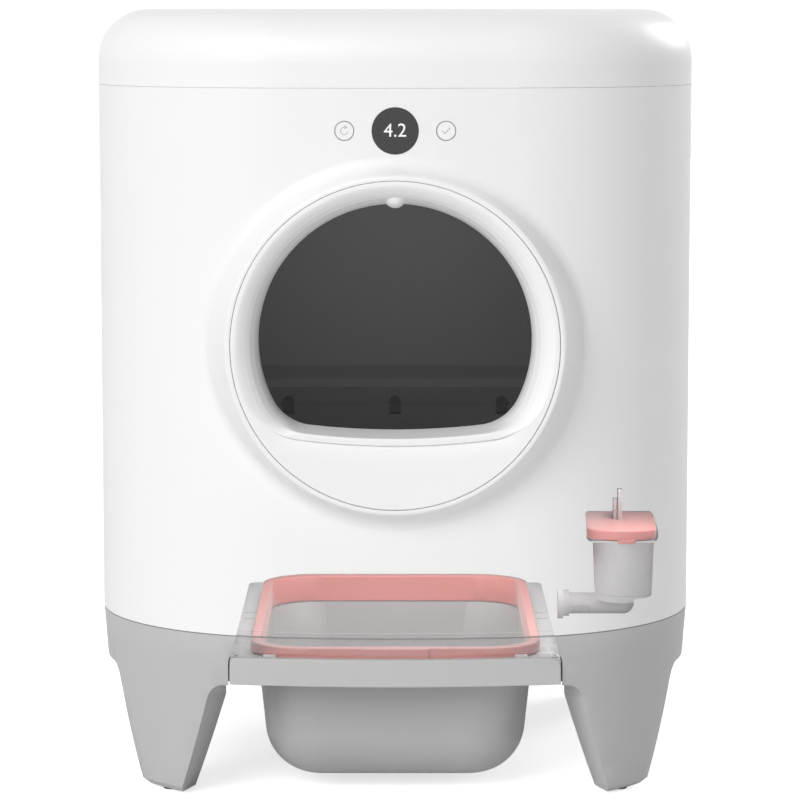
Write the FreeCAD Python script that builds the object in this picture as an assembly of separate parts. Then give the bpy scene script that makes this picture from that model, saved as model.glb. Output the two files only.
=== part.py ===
import FreeCAD, Part
import math
import os

# Self-cleaning litter box: a rounded-square housing with a turning drum behind a round entrance,
# on a four-legged base that carries a waste drawer.  Millimetres, +Z up, +Y to the back.
# Pieces are drawn about the middle of the housing's plan outline and moved back by half the
# entrance's bulge, so that the whole stands with the middle of its footprint at the origin.

V = FreeCAD.Vector

# Housing
BODY_WIDTH = 504.0
BODY_DEPTH = 516.0
BODY_HEIGHT = 640.0
LID_HEIGHT = 62.0
CORNER_X = 73.0
SIDE_BOW = 5.0
BASE_SEAM_Z = 140.0
LID_EDGE_RADIUS = 42.0
WALL = 3.0
LIP_WALL = 3.0
LIP_LENGTH = 8.0
LIP_GAP = 0.4
LID_GAP = 0.2

# Entrance
ENTRANCE_BULGE = 16.0
ENTRANCE_MARGIN = 49.0
ENTRANCE_GAP = 0.4
RIM_WIDTH = 4.1
RIM_EDGE = 3.0
BULGE_DRAFT = 24.0
BULGE_BLEND = 12.0
OPENING_MARGIN = 21.0
OPENING_RISE = 2.0
OPENING_SILL_HEIGHT = 60.2
OPENING_CORNER = 38.0
OPENING_SILL_RADIUS = 600.0
FUNNEL_MARGIN = 3.5
FUNNEL_SILL_HEIGHT = 51.0
FUNNEL_CORNER = 52.0
FUNNEL_DEPTH = 24.0
FUNNEL_WALL = 3.0
SLEEVE_LENGTH = 18.0
SENSOR_RADIUS = 8.6
SENSOR_RISE = 2.0
SENSOR_GAP = 0.3

# Controls
CONTROL_DROP = 33.3
DISPLAY_RADIUS = 18.3
BUTTON_RADIUS = 7.6
BUTTON_SPACING = 80.0
BUTTON_TRAVEL = 1.0
CONTROL_GAP = 0.3
BUTTON_FLANGE = 2.0
BOARD_WIDTH = 116.0
BOARD_HEIGHT = 42.0
BOARD_THICKNESS = 1.6
BOARD_STANDOFF = 8.0
BOARD_POST_RADIUS = 3.0
BOARD_POST_INSET = 6.0

# Base
SKIRT_DRAFT = 4.3
FOOT_HEIGHT = 2.2
FOOT_RADIUS = 7.0
FOOT_ANGLE = 41.5
TOE_BEVEL = 5.0
LEG_THICKNESS = 29.0
LEG_WALL = 3.0
LEG_FLOOR = 3.8
ARCH_TOP_Z = 98.0
ARCH_RADIUS = 20.0
FRONT_ARCH_INSET = 42.1
FRONT_ARCH_SPREAD = 78.4
SIDE_ARCH_INSET = 45.2
SIDE_ARCH_SPREAD = 85.6
ARCH_MEASURE_DEPTH = 38.0
ARCH_TOP_TAPER = 0.62
ARCH_FLOOR_TAPER = 0.36
SHELF_THICKNESS = 3.0
DECK_THICKNESS = 4.0
DECK_TOP_Z = 128.0
DECK_LEDGE = 10.0
DECK_LEDGE_HEIGHT = 4.0
LOAD_CELL_RADIUS = 8.0
LOAD_CELL_HEIGHT = 8.0

# Drawer
PANEL_SIDE_MARGIN = 118.6
PANEL_BOTTOM_Z = 99.5
PANEL_TOP_Z = 124.9
PANEL_THICKNESS = 7.0
PANEL_CORNER = 8.5
PANEL_GAP = 1.2
FRAME_GAP = 0.6
FRAME_BOTTOM_Z = 102.0
FRAME_TOP_Z = 116.0
FRAME_MARGIN = 10.0
BAY_WALL_GAP = 4.0
RUNNER_WALL = 3.0
RUNNER_LEDGE = 19.0
RUNNER_GAP = 0.3
FRAME_SLOT_LENGTH = 9.0
FRAME_SLOT_WIDTH = 4.0
FRAME_SLOT_DEPTH = 4.0
FRAME_SLOT_PLACES = (7.5, 34.5)
FRAME_SLOT_INSET = 7.0
FRAME_RIB_INSET = 4.5
FRAME_RIB_HALF = 1.0
FRAME_RIB_HEIGHT = 1.2
FRAME_RIB_START = 20.0
FRAME_RIB_LENGTH = 65.0
FRAME_HOLE_RADIUS = 1.6
FRAME_HOLE_OUT = 2.8
FRAME_HOLE_START = 130.0
FRAME_HOLE_DEPTH = 6.0

# Bag ring and waste bin
RING_SIDE_MARGIN = 14.4
RING_FRONT_MARGIN = 32.0
RING_REAR_MARGIN = 119.0
RING_TOP_Z = 125.6
RING_CORNER = 48.0
RING_SIDE_BAND = 8.0
RING_END_BAND = 12.0
RING_WALL = 1.5
RING_PLATE = 3.0
RING_SLEEVE = 23.0
RING_TAB_WIDTH = 54.0
RING_TAB_OUT = 3.0
RING_CLIP_INSET = 17.0
RING_CLIP_WIDTH = 10.0
RING_CLIP_RECESS = 3.0
RING_GAP = 0.4
BIN_WALL = 2.0
BIN_FLOOR_Z = 11.0
BIN_SHOULDER_Z = 100.0
BIN_SHOULDER = 2.5
BIN_DRAFT = 5.8
BIN_FLOOR_RADIUS = 42.0
BIN_FLANGE = 2.2
BIN_PIP_RADIUS = 2.5
BIN_PIP_HEIGHT = 1.2
BIN_PIP_SIDE = 64.5
BIN_PIP_END = 66.0

# Drum
DRUM_DECK_GAP = 56.4
DRUM_LID_GAP = 2.3
DRUM_SIDE_GAP = 60.0
DRUM_END_ROOM = 106.0
DRUM_WALL = 3.0
DRUM_RIM = 2.0
DRUM_RIM_LENGTH = 7.0
DRUM_MOUTH_MARGIN = 37.0
MOUTH_GAP = 4.0
TRACK_HEIGHT = 3.0
TRACK_WIDTH = 14.0
FRONT_TRACK_MARGIN = 20.0
REAR_TRACK_MARGIN = 30.0
PORT_ANGLE = 118.0
PORT_SPAN = 42.0
PORT_MARGIN = 95.0
LEDGE_DROP = 76.0
LEDGE_SLOPE = 12.0
LEDGE_DEPTH = 11.5
LINER_THICKNESS = 2.5
LINER_SPAN = 116.0
LINER_DROP = 84.0
LINER_STEP_DROP = 99.0
LINER_STEP = 2.5
LINER_GAP = 0.3
CLIP_REACH = 0.55
CLIP_WIDTH = 10.0
CLIP_HEIGHT = 15.0
CLIP_DEPTH = 2.5
CLIP_RIM = 2.2
SIEVE_DEPTH = 29.0
SIEVE_WALL = 3.0
SIEVE_START = 143.0
SIEVE_END = 205.0
SIEVE_COLUMNS = 6
SIEVE_ROWS = 11
SIEVE_SLOT = 11.0

# Drive
DOWN = 270.0
GEAR_MODULE = 4.0
GEAR_RIM = 9.0
TOOTH_TIP = 0.9
TOOTH_ROOT = 1.15
PINION_TEETH = 16
PRESSURE_ANGLE = 20.0
BACKLASH = 0.6
GEAR_MARGIN = 65.0
GEAR_WIDTH = 12.0
PINION_ANGLE = 320.0
SHAFT_RADIUS = 4.0
GEARBOX_RADIUS = 27.0
GEARBOX_LENGTH = 34.0
MOTOR_RADIUS = 19.0
MOTOR_LENGTH = 50.0
BRACKET_PLATE = 3.0
BRACKET_REACH = 42.2
BRACKET_SHOULDER = 12.0
MOTOR_FOOT = 24.0
ROLLER_RADIUS = 14.0
ROLLER_WIDTH = 12.0
ROLLER_ANGLE = 45.0
AXLE_RADIUS = 3.0
AXLE_END = 1.2
EYE_RADIUS = 7.8
EYE_TANGENT = 22.0
AXLE_GAP = 0.05
ROLLER_GAP = 0.25

# Deodoriser
CUP_SIDE_MARGIN = 59.8
CUP_FRONT_MARGIN = 152.0
CUP_TOP_Z = 198.4
CUP_TOP_RADIUS = 26.1
CUP_BOTTOM_RADIUS = 24.2
CUP_HEIGHT = 46.6
CUP_WALL = 2.0
ADAPTER_HEIGHT = 5.5
DUCT_RADIUS = 9.3
DUCT_WALL = 2.0
DUCT_Z = 142.2
DUCT_REACH = 45.5
COLLAR_RADIUS = 11.3
COLLAR_LENGTH = 4.8
FLANGE_RADIUS = 13.5
FLANGE_LENGTH = 5.0
CUP_LID_WIDTH = 57.0
CUP_LID_LENGTH = 113.0
CUP_LID_HEIGHT = 9.5
CUP_LID_BOW = 4.0
CUP_LID_FRONT = 30.0
CUP_LID_GAP = 0.2
POST_HEIGHT = 22.5
POST_LOW_HEIGHT = 15.0

# Fasteners and inlet
SCREW_RADIUS = 2.0
SCREW_HEAD_RADIUS = 4.0
SCREW_HEAD = 2.4
SCREW_LENGTH = 30.0
BOSS_RADIUS = 7.0
BOSS_ANGLE = 62.0
FIT_GAP = 0.1
INLET_RADIUS = 5.2
INLET_X = 60.0
INLET_Z = 110.5

# Worked out from the sizes above: the housing
HALF_WIDTH = BODY_WIDTH / 2
HALF_DEPTH = BODY_DEPTH / 2
LID_SEAM_Z = BODY_HEIGHT - LID_HEIGHT
CORNER_RADIUS = HALF_WIDTH - CORNER_X - SIDE_BOW
CORNER_Y = HALF_DEPTH - CORNER_RADIUS - SIDE_BOW
FACE_Y = -HALF_DEPTH - ENTRANCE_BULGE
PLAN_SHIFT = ENTRANCE_BULGE / 2
DECK_Z = DECK_TOP_Z - DECK_THICKNESS
CONTROL_Z = LID_SEAM_Z - CONTROL_DROP
BOARD_Y = -HALF_DEPTH + WALL + BOARD_STANDOFF

# The drum and its gear ring fill the room between rollers and lid, and between the side walls
ROOM_HEIGHT = LID_SEAM_Z - LIP_LENGTH - DRUM_LID_GAP - DECK_TOP_Z - DRUM_DECK_GAP
ROOM_WIDTH = BODY_WIDTH - 2 * DRUM_SIDE_GAP
RING_TEETH = math.floor(min(ROOM_HEIGHT, ROOM_WIDTH) / GEAR_MODULE - 2 * TOOTH_TIP)
RING_PITCH_RADIUS = GEAR_MODULE * RING_TEETH / 2
RING_TIP_RADIUS = RING_PITCH_RADIUS + GEAR_MODULE * TOOTH_TIP
ENTRANCE_Z = DECK_TOP_Z + DRUM_DECK_GAP + RING_TIP_RADIUS
DRUM_RADIUS = RING_PITCH_RADIUS - GEAR_RIM
DRUM_MOUTH_RADIUS = DRUM_RADIUS - DRUM_MOUTH_MARGIN
DRUM_LENGTH = BODY_DEPTH - DRUM_END_ROOM
DRUM_Y = DRUM_LENGTH / 2
TRACK_RADIUS = DRUM_RADIUS + TRACK_HEIGHT
FRONT_TRACK_Y = -DRUM_Y + FRONT_TRACK_MARGIN
REAR_TRACK_Y = DRUM_Y - REAR_TRACK_MARGIN
GEAR_Y = DRUM_Y - GEAR_MARGIN
PORT_LENGTH = DRUM_LENGTH - 2 * PORT_MARGIN
LEDGE_Z = ENTRANCE_Z - LEDGE_DROP
LINER_TOP_Z = ENTRANCE_Z - LINER_DROP
LINER_STEP_Z = ENTRANCE_Z - LINER_STEP_DROP
CLIP_SPACING = DRUM_RADIUS * CLIP_REACH
SIEVE_RADIUS = DRUM_RADIUS - SIEVE_DEPTH
ROLLER_DISTANCE = TRACK_RADIUS + ROLLER_RADIUS + ROLLER_GAP

# The entrance follows the drum
ENTRANCE_RADIUS = DRUM_RADIUS - ENTRANCE_MARGIN
RIM_RADIUS = ENTRANCE_RADIUS + RIM_WIDTH
OPENING_RADIUS = ENTRANCE_RADIUS - OPENING_MARGIN
OPENING_CENTRE_Z = ENTRANCE_Z + OPENING_RISE
OPENING_BOTTOM_Z = ENTRANCE_Z - ENTRANCE_RADIUS + OPENING_SILL_HEIGHT
FUNNEL_RADIUS = ENTRANCE_RADIUS - FUNNEL_MARGIN
FUNNEL_BOTTOM_Z = ENTRANCE_Z - ENTRANCE_RADIUS + FUNNEL_SILL_HEIGHT
SENSOR_Z = OPENING_CENTRE_Z + OPENING_RADIUS + SENSOR_RISE

# The drawer, its ring and its bay
PANEL_WIDTH = BODY_WIDTH - 2 * PANEL_SIDE_MARGIN
NOTCH_HALF = PANEL_WIDTH / 2 + PANEL_GAP
NOTCH_TOP_Z = RING_TOP_Z + 0.8
FRAME_HALF = NOTCH_HALF - FRAME_GAP
BAY_HALF = FRAME_HALF + BAY_WALL_GAP
RING_WIDTH = PANEL_WIDTH - 2 * RING_SIDE_MARGIN
RING_LENGTH = BODY_DEPTH - RING_FRONT_MARGIN - RING_REAR_MARGIN
RING_FRONT_Y = -HALF_DEPTH + RING_FRONT_MARGIN
RING_MID_Y = RING_FRONT_Y + RING_LENGTH / 2
RING_CLIP_X = RING_WIDTH / 2 - RING_CLIP_INSET
FRAME_BACK_Y = RING_FRONT_Y + RING_LENGTH + FRAME_MARGIN
BAY_BACK_Y = FRAME_BACK_Y + BAY_WALL_GAP + 1.0

# The deodoriser
CUP_X = HALF_WIDTH - CUP_SIDE_MARGIN
CUP_Y = -HALF_DEPTH + CUP_FRONT_MARGIN
CUP_BOTTOM_Z = CUP_TOP_Z - CUP_HEIGHT
DUCT_START_X = CUP_X - DUCT_REACH


def box(x0, x1, y0, y1, z0, z1):
    return Part.makeBox(x1 - x0, y1 - y0, z1 - z0, V(x0, y0, z0))


def disc_x(y, z, radius, x0, x1):
    return Part.makeCylinder(radius, x1 - x0, V(x0, y, z), V(1, 0, 0))


def disc_y(x, z, radius, y0, y1):
    return Part.makeCylinder(radius, y1 - y0, V(x, y0, z), V(0, 1, 0))


def disc_z(x, y, radius, z0, z1):
    return Part.makeCylinder(radius, z1 - z0, V(x, y, z0), V(0, 0, 1))


def tube_y(x, z, outer, inner, y0, y1):
    return disc_y(x, z, outer, y0, y1).cut(disc_y(x, z, inner, y0 - 1, y1 + 1))


def polar(angle, radius, centre_x=0.0, centre_z=ENTRANCE_Z):
    """A point (x, z) at an angle in degrees from +X, turning towards +Z."""
    turn = math.radians(angle)
    return centre_x + radius * math.cos(turn), centre_z + radius * math.sin(turn)


def joined(shapes):
    first = shapes[0]
    return first.fuse(shapes[1:]).removeSplitter() if len(shapes) > 1 else first


def polygon_y(points, y0, y1):
    """A prism along Y over a closed outline of (x, z) points."""
    corners = [V(x, y0, z) for x, z in points]
    face = Part.Face(Part.makePolygon(corners + corners[:1]))
    return face.extrude(V(0, y1 - y0, 0))


def side_arc_radius():
    return (CORNER_Y**2 + (CORNER_RADIUS + SIDE_BOW) ** 2 - CORNER_RADIUS**2) / (2 * SIDE_BOW)


def front_arc_radius():
    return (CORNER_X**2 + (CORNER_RADIUS + SIDE_BOW) ** 2 - CORNER_RADIUS**2) / (2 * SIDE_BOW)


def plan_wire(inset, z):
    """The housing's outline: four bowed sides joined by tangent corner arcs, moved in by inset."""
    radius = CORNER_RADIUS - inset
    steep = math.atan2(CORNER_Y + front_arc_radius() - HALF_DEPTH, CORNER_X)
    flat = math.atan2(CORNER_Y, CORNER_X + side_arc_radius() - HALF_WIDTH)

    def corner(angle, sx, sy):
        x = CORNER_X + radius * math.cos(angle)
        y = CORNER_Y + radius * math.sin(angle)
        return V(sx * x, sy * y, z)

    edges = []
    quarters = [(1, 1), (-1, 1), (-1, -1), (1, -1)]
    for sx, sy in quarters:
        first, last = (flat, steep) if sx * sy > 0 else (steep, flat)
        middle = (flat + steep) / 2
        edges.append(Part.Arc(corner(first, sx, sy), corner(middle, sx, sy), corner(last, sx, sy)))
        if sx * sy > 0:
            far = V(0, sy * (HALF_DEPTH - inset), z)
            edges.append(Part.Arc(corner(last, sx, sy), far, corner(last, -sx, sy)))
        else:
            far = V(sx * (HALF_WIDTH - inset), 0, z)
            edges.append(Part.Arc(corner(last, sx, sy), far, corner(last, sx, -sy)))
    return Part.Wire([edge.toShape() for edge in edges])


def plan_prism(inset, z0, z1):
    return Part.Face(plan_wire(inset, z0)).extrude(V(0, 0, z1 - z0))


def plan_hoop(outer_inset, inner_inset, z0, z1):
    return plan_prism(outer_inset, z0, z1).cut(plan_prism(inner_inset, z0 - 1, z1 + 1))


def skirt_inset(z):
    return (BASE_SEAM_Z - z) * math.tan(math.radians(SKIRT_DRAFT))


def skirt_solid(inset, z0, z1):
    """The base's drafted outside, moved in by inset."""
    wires = [plan_wire(skirt_inset(z) + inset, z) for z in (z0, z1)]
    return Part.makeLoft(wires, True, True)


def rounded_wire(half_x, half_y, radius, z):
    """A rectangle about the bin's middle with rounded corners."""
    k = radius * (1 - math.sqrt(0.5))
    left, right = -half_x, half_x
    front, back = RING_MID_Y - half_y, RING_MID_Y + half_y
    edges = [
        Part.LineSegment(V(left + radius, front, z), V(right - radius, front, z)),
        Part.Arc(V(right - radius, front, z), V(right - k, front + k, z), V(right, front + radius, z)),
        Part.LineSegment(V(right, front + radius, z), V(right, back - radius, z)),
        Part.Arc(V(right, back - radius, z), V(right - k, back - k, z), V(right - radius, back, z)),
        Part.LineSegment(V(right - radius, back, z), V(left + radius, back, z)),
        Part.Arc(V(left + radius, back, z), V(left + k, back - k, z), V(left, back - radius, z)),
        Part.LineSegment(V(left, back - radius, z), V(left, front + radius, z)),
        Part.Arc(V(left, front + radius, z), V(left + k, front + k, z), V(left + radius, front, z)),
    ]
    return Part.Wire([edge.toShape() for edge in edges])


def ring_prism(side, end, radius, z0, z1):
    """A rounded prism whose sides lie in from the bag ring's outline by side and end."""
    wire = rounded_wire(RING_WIDTH / 2 - side, RING_LENGTH / 2 - end, radius, z0)
    return Part.Face(wire).extrude(V(0, 0, z1 - z0))


def arch_wire(top_width, floor_width, grow, y):
    """The outline under an arch in the plane y, with its top corners rounded."""
    top = ARCH_TOP_Z + grow
    slope = (floor_width - top_width) / 2 / ARCH_TOP_Z
    half_top = top_width / 2 + grow * (math.hypot(1, slope) - slope)
    half_floor = half_top + slope * (top + 10)
    lean = math.atan(slope)
    radius = ARCH_RADIUS + grow
    run = radius * math.tan((math.pi / 2 - lean) / 2)
    right_low = V(half_top + run * math.sin(lean), y, top - run * math.cos(lean))
    right_high = V(half_top - run, y, top)
    turn = (math.pi / 2 + lean) / 2
    right_mid = V(half_top - run + radius * math.cos(turn), y, top - radius + radius * math.sin(turn))

    def mirrored(p):
        return V(-p.x, p.y, p.z)

    right_floor = V(half_floor, y, -10)
    edges = [
        Part.LineSegment(mirrored(right_floor), right_floor),
        Part.LineSegment(right_floor, right_low),
        Part.Arc(right_low, right_mid, right_high),
        Part.LineSegment(right_high, mirrored(right_high)),
        Part.Arc(mirrored(right_high), mirrored(right_mid), mirrored(right_low)),
        Part.LineSegment(mirrored(right_low), mirrored(right_floor)),
    ]
    return Part.Wire([edge.toShape() for edge in edges])


def arch_space(top_width, floor_width, grow, face_y):
    """The space through one arch, from outside the face at -face_y inwards, narrowing as it goes in."""
    wires = []
    for depth in (-LEG_THICKNESS, ARCH_MEASURE_DEPTH * 2.6):
        top_change = 2 * ARCH_TOP_TAPER * (ARCH_MEASURE_DEPTH - depth)
        floor_change = 2 * ARCH_FLOOR_TAPER * (ARCH_MEASURE_DEPTH - depth)
        wires.append(arch_wire(top_width + top_change, floor_width + floor_change, grow, depth - face_y))
    return Part.makeLoft(wires, True, True)


def arches(grow):
    """The four arches between the legs, each as wide as the feet leave room for."""
    foot_x, foot_y = foot_places()[0]
    front_top = 2 * (foot_x - FRONT_ARCH_INSET)
    side_top = 2 * (foot_y - SIDE_ARCH_INSET)
    front = arch_space(front_top, front_top + FRONT_ARCH_SPREAD, grow, HALF_DEPTH)
    side = arch_space(side_top, side_top + SIDE_ARCH_SPREAD, grow, HALF_WIDTH)
    spaces = []
    for space, turns in ((front, (0, 180)), (side, (90, 270))):
        for turn in turns:
            turned = space.copy()
            turned.rotate(V(0, 0, 0), V(0, 0, 1), turn)
            spaces.append(turned)
    return spaces


def foot_places():
    """The middle of each leg's sole, counted from the back right corner."""
    reach = CORNER_RADIUS - skirt_inset(0) - LEG_THICKNESS / 2
    x = CORNER_X + reach * math.cos(math.radians(FOOT_ANGLE))
    y = CORNER_Y + reach * math.sin(math.radians(FOOT_ANGLE))
    return [(x, y), (-x, y), (-x, -y), (x, -y)]


def notch(grow, y0, y1):
    """The drawer panel's outline with rounded top corners, as a prism along Y."""
    half = PANEL_WIDTH / 2 + grow
    top = PANEL_TOP_Z if grow == 0 else NOTCH_TOP_Z
    bottom = PANEL_BOTTOM_Z if grow == 0 else ARCH_TOP_Z - 20
    solid = box(-half, half, y0, y1, bottom, top)
    tops = [
        edge
        for edge in solid.Edges
        if all(abs(v.Z - top) < 1e-6 and abs(abs(v.X) - half) < 1e-6 for v in edge.Vertexes)
    ]
    return solid.makeFillet(PANEL_CORNER + grow, tops)


def skirt_moulding():
    """Drafted skirt and four hollow legs, with the drawer's notch in front."""
    bevel_z = FOOT_HEIGHT + TOE_BEVEL
    toe = Part.makeLoft(
        [
            plan_wire(skirt_inset(FOOT_HEIGHT) + TOE_BEVEL, FOOT_HEIGHT),
            plan_wire(skirt_inset(bevel_z), bevel_z),
        ],
        True,
        True,
    )
    solid = skirt_solid(0, bevel_z, BASE_SEAM_Z).fuse(toe)
    shelf_top = ARCH_TOP_Z + SHELF_THICKNESS
    solid = solid.cut(skirt_solid(LEG_THICKNESS, -1, shelf_top))
    solid = solid.cut(skirt_solid(WALL, shelf_top, BASE_SEAM_Z + 0.01))
    for arch in arches(0):
        solid = solid.cut(arch)

    hollow = skirt_solid(LEG_WALL, FOOT_HEIGHT + LEG_FLOOR, shelf_top + 1)
    hollow = hollow.cut(skirt_solid(LEG_THICKNESS - LEG_WALL, -1, shelf_top + 2))
    for arch in arches(LEG_WALL):
        hollow = hollow.cut(arch)
    solid = solid.cut(hollow)

    ledge = skirt_solid(WALL - 0.5, DECK_Z - DECK_LEDGE_HEIGHT, DECK_Z)
    ledge = ledge.cut(skirt_solid(WALL + DECK_LEDGE, 0, BASE_SEAM_Z))
    solid = solid.fuse(ledge)
    for x, y in boss_places():
        hole = SCREW_RADIUS + FIT_GAP
        solid = solid.cut(disc_z(x, y, hole, DECK_Z - DECK_LEDGE_HEIGHT - 1, DECK_Z + 1))
    bay = box(-BAY_HALF, BAY_HALF, -HALF_DEPTH, BAY_BACK_Y, ARCH_TOP_Z - 20, BASE_SEAM_Z)
    solid = solid.cut(bay.common(skirt_solid(WALL, 0, BASE_SEAM_Z)))
    solid = solid.cut(notch(PANEL_GAP, -HALF_DEPTH - 5, -HALF_DEPTH / 2))
    inlet_y = HALF_DEPTH - WALL * 3
    solid = solid.cut(disc_y(INLET_X, INLET_Z, INLET_RADIUS + FIT_GAP, inlet_y, HALF_DEPTH + 5))
    return solid.removeSplitter()


def bridge_block():
    """The space over the drawer that the bridge fills, between the notch's rounded corners."""
    half = PANEL_WIDTH / 2 - PANEL_CORNER
    return box(-half, half, -HALF_DEPTH - 5, -HALF_DEPTH / 2, NOTCH_TOP_Z - 1, BASE_SEAM_Z + 1)


def base_skirt(moulding):
    """The skirt and legs without the bridge over the drawer."""
    return moulding.cut(bridge_block()).removeSplitter()


def drawer_bridge(moulding):
    """The strip of the skirt's front that closes it over the drawer, snapped in flush."""
    return moulding.common(bridge_block()).removeSplitter()


def foot_pad(place):
    x, y = place
    return disc_z(x, y, FOOT_RADIUS, 0, FOOT_HEIGHT)


def load_cells():
    z = FOOT_HEIGHT + LEG_FLOOR
    cells = []
    for x, y in foot_places():
        cell = disc_z(x, y, LOAD_CELL_RADIUS, z, z + LOAD_CELL_HEIGHT)
        cells.append(cell.fuse(disc_z(x, y, LOAD_CELL_RADIUS / 2, z, z + LOAD_CELL_HEIGHT + 2)).removeSplitter())
    return Part.makeCompound(cells)


def boss_places():
    """Screw places inside the housing wall: two on each side and one near each corner's steep end."""
    inset = WALL + BOSS_RADIUS - 0.5
    side_y = BODY_DEPTH / 10
    side_x = HALF_WIDTH - inset - side_y**2 / (2 * side_arc_radius())
    turn = math.radians(BOSS_ANGLE)
    corner_x = CORNER_X + (CORNER_RADIUS - inset) * math.cos(turn)
    corner_y = CORNER_Y + (CORNER_RADIUS - inset) * math.sin(turn)
    places = []
    for sx in (-1, 1):
        for sy in (-1, 1):
            places.append((sx * side_x, sy * side_y))
            places.append((sx * corner_x, sy * corner_y))
    return places


def seat_inset():
    """The inset of what fits inside the base skirt's drafted wall, at the deck."""
    return WALL + LIP_GAP + skirt_inset(DECK_Z)


def deck_plate():
    """The floor over the legs, open in the middle for the drawer and what falls into it."""
    solid = plan_prism(seat_inset(), DECK_Z, DECK_TOP_Z)
    solid = solid.cut(box(-BAY_HALF, BAY_HALF, -BODY_DEPTH, BAY_BACK_Y, DECK_Z - 1, DECK_TOP_Z + 1))
    for x, y in boss_places():
        solid = solid.cut(disc_z(x, y, SCREW_RADIUS + FIT_GAP, DECK_Z - 1, DECK_TOP_Z + 1))
    return solid


def shell_screws():
    screws = []
    for x, y in boss_places():
        seat = DECK_Z - DECK_LEDGE_HEIGHT
        shank = disc_z(x, y, SCREW_RADIUS, seat - 0.5, seat + SCREW_LENGTH)
        head = disc_z(x, y, SCREW_HEAD_RADIUS, seat - SCREW_HEAD, seat)
        screws.append(shank.fuse(head).removeSplitter())
    return Part.makeCompound(screws)


def bulge_solid(inset):
    """The round boss about the entrance: a cone with a rounded front edge, moved in by inset."""
    spread = math.tan(math.radians(BULGE_DRAFT))
    front = FACE_Y + inset
    depth = HALF_DEPTH / 3
    near = RIM_RADIUS - inset
    far = near + depth * spread
    cone = Part.makeCone(near, far, depth, V(0, front, ENTRANCE_Z), V(0, 1, 0))
    if inset > 0:
        return cone
    rim = [edge for edge in cone.Edges if abs(edge.BoundBox.YMax - front) < 1e-6]
    return cone.makeFillet(RIM_EDGE, rim)


def shell_outside():
    """The housing's upright wall with the entrance boss blended into it."""
    wall = plan_prism(0, BASE_SEAM_Z, LID_SEAM_Z)
    solid = wall.fuse(bulge_solid(0)).removeSplitter()
    seam = []
    for edge in solid.Edges:
        size = edge.BoundBox
        inside = size.YMin > FACE_Y + RIM_EDGE + 2 and size.YMax < -HALF_DEPTH * 0.7
        level = size.ZMin > BASE_SEAM_Z + 5 and size.ZMax < LID_SEAM_Z - 5
        upright = size.XLength < 0.5 and size.YLength < 0.5
        if inside and level and not upright:
            seam.append(edge)
    return solid.makeFillet(BULGE_BLEND, seam)


def housing_wall():
    """The white housing wall: open at the top and bottom, with the entrance and control holes."""
    solid = shell_outside()
    inside = plan_prism(WALL, BASE_SEAM_Z - 1, LID_SEAM_Z + 1).fuse(bulge_solid(WALL + 0.2))
    solid = solid.cut(inside)
    lip_inset = seat_inset()
    lip = plan_hoop(lip_inset, lip_inset + LIP_WALL, BASE_SEAM_Z - LIP_LENGTH, BASE_SEAM_Z)
    collar = plan_hoop(WALL - 0.5, lip_inset + LIP_WALL, BASE_SEAM_Z, BASE_SEAM_Z + LIP_WALL)
    solid = solid.fuse([lip, collar])
    for x, y in boss_places():
        solid = solid.fuse(disc_z(x, y, BOSS_RADIUS, DECK_TOP_Z, DECK_Z + SCREW_LENGTH + 6))
    solid = solid.cut(plan_hoop(-5, lip_inset, DECK_Z, BASE_SEAM_Z))
    for sx in (-1, 1):
        for sz in (-1, 1):
            x = sx * (BOARD_WIDTH / 2 - BOARD_POST_INSET)
            z = CONTROL_Z + sz * (BOARD_HEIGHT / 2 - BOARD_POST_INSET)
            solid = solid.fuse(disc_y(x, z, BOARD_POST_RADIUS, -HALF_DEPTH + WALL - 0.5, BOARD_Y))
    for x, y in boss_places():
        solid = solid.cut(disc_z(x, y, SCREW_RADIUS + FIT_GAP, DECK_Z, DECK_Z + SCREW_LENGTH))
    front = FACE_Y - 1
    back = -HALF_DEPTH + BOARD_STANDOFF
    hole = ENTRANCE_RADIUS + ENTRANCE_GAP
    solid = solid.cut(disc_y(0, ENTRANCE_Z, hole, front, -DRUM_Y))
    solid = solid.cut(disc_y(0, CONTROL_Z, DISPLAY_RADIUS + CONTROL_GAP, front, back))
    for sx in (-1, 1):
        x = sx * BUTTON_SPACING / 2
        solid = solid.cut(disc_y(x, CONTROL_Z, BUTTON_RADIUS + CONTROL_GAP, front, back))
    return solid.removeSplitter()


def housing_half(wall, y0, y1):
    """One of the housing's two shells, which meet flush in the middle of its sides."""
    return wall.common(box(-BODY_WIDTH, BODY_WIDTH, y0, y1, 0, BODY_HEIGHT)).removeSplitter()


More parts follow.
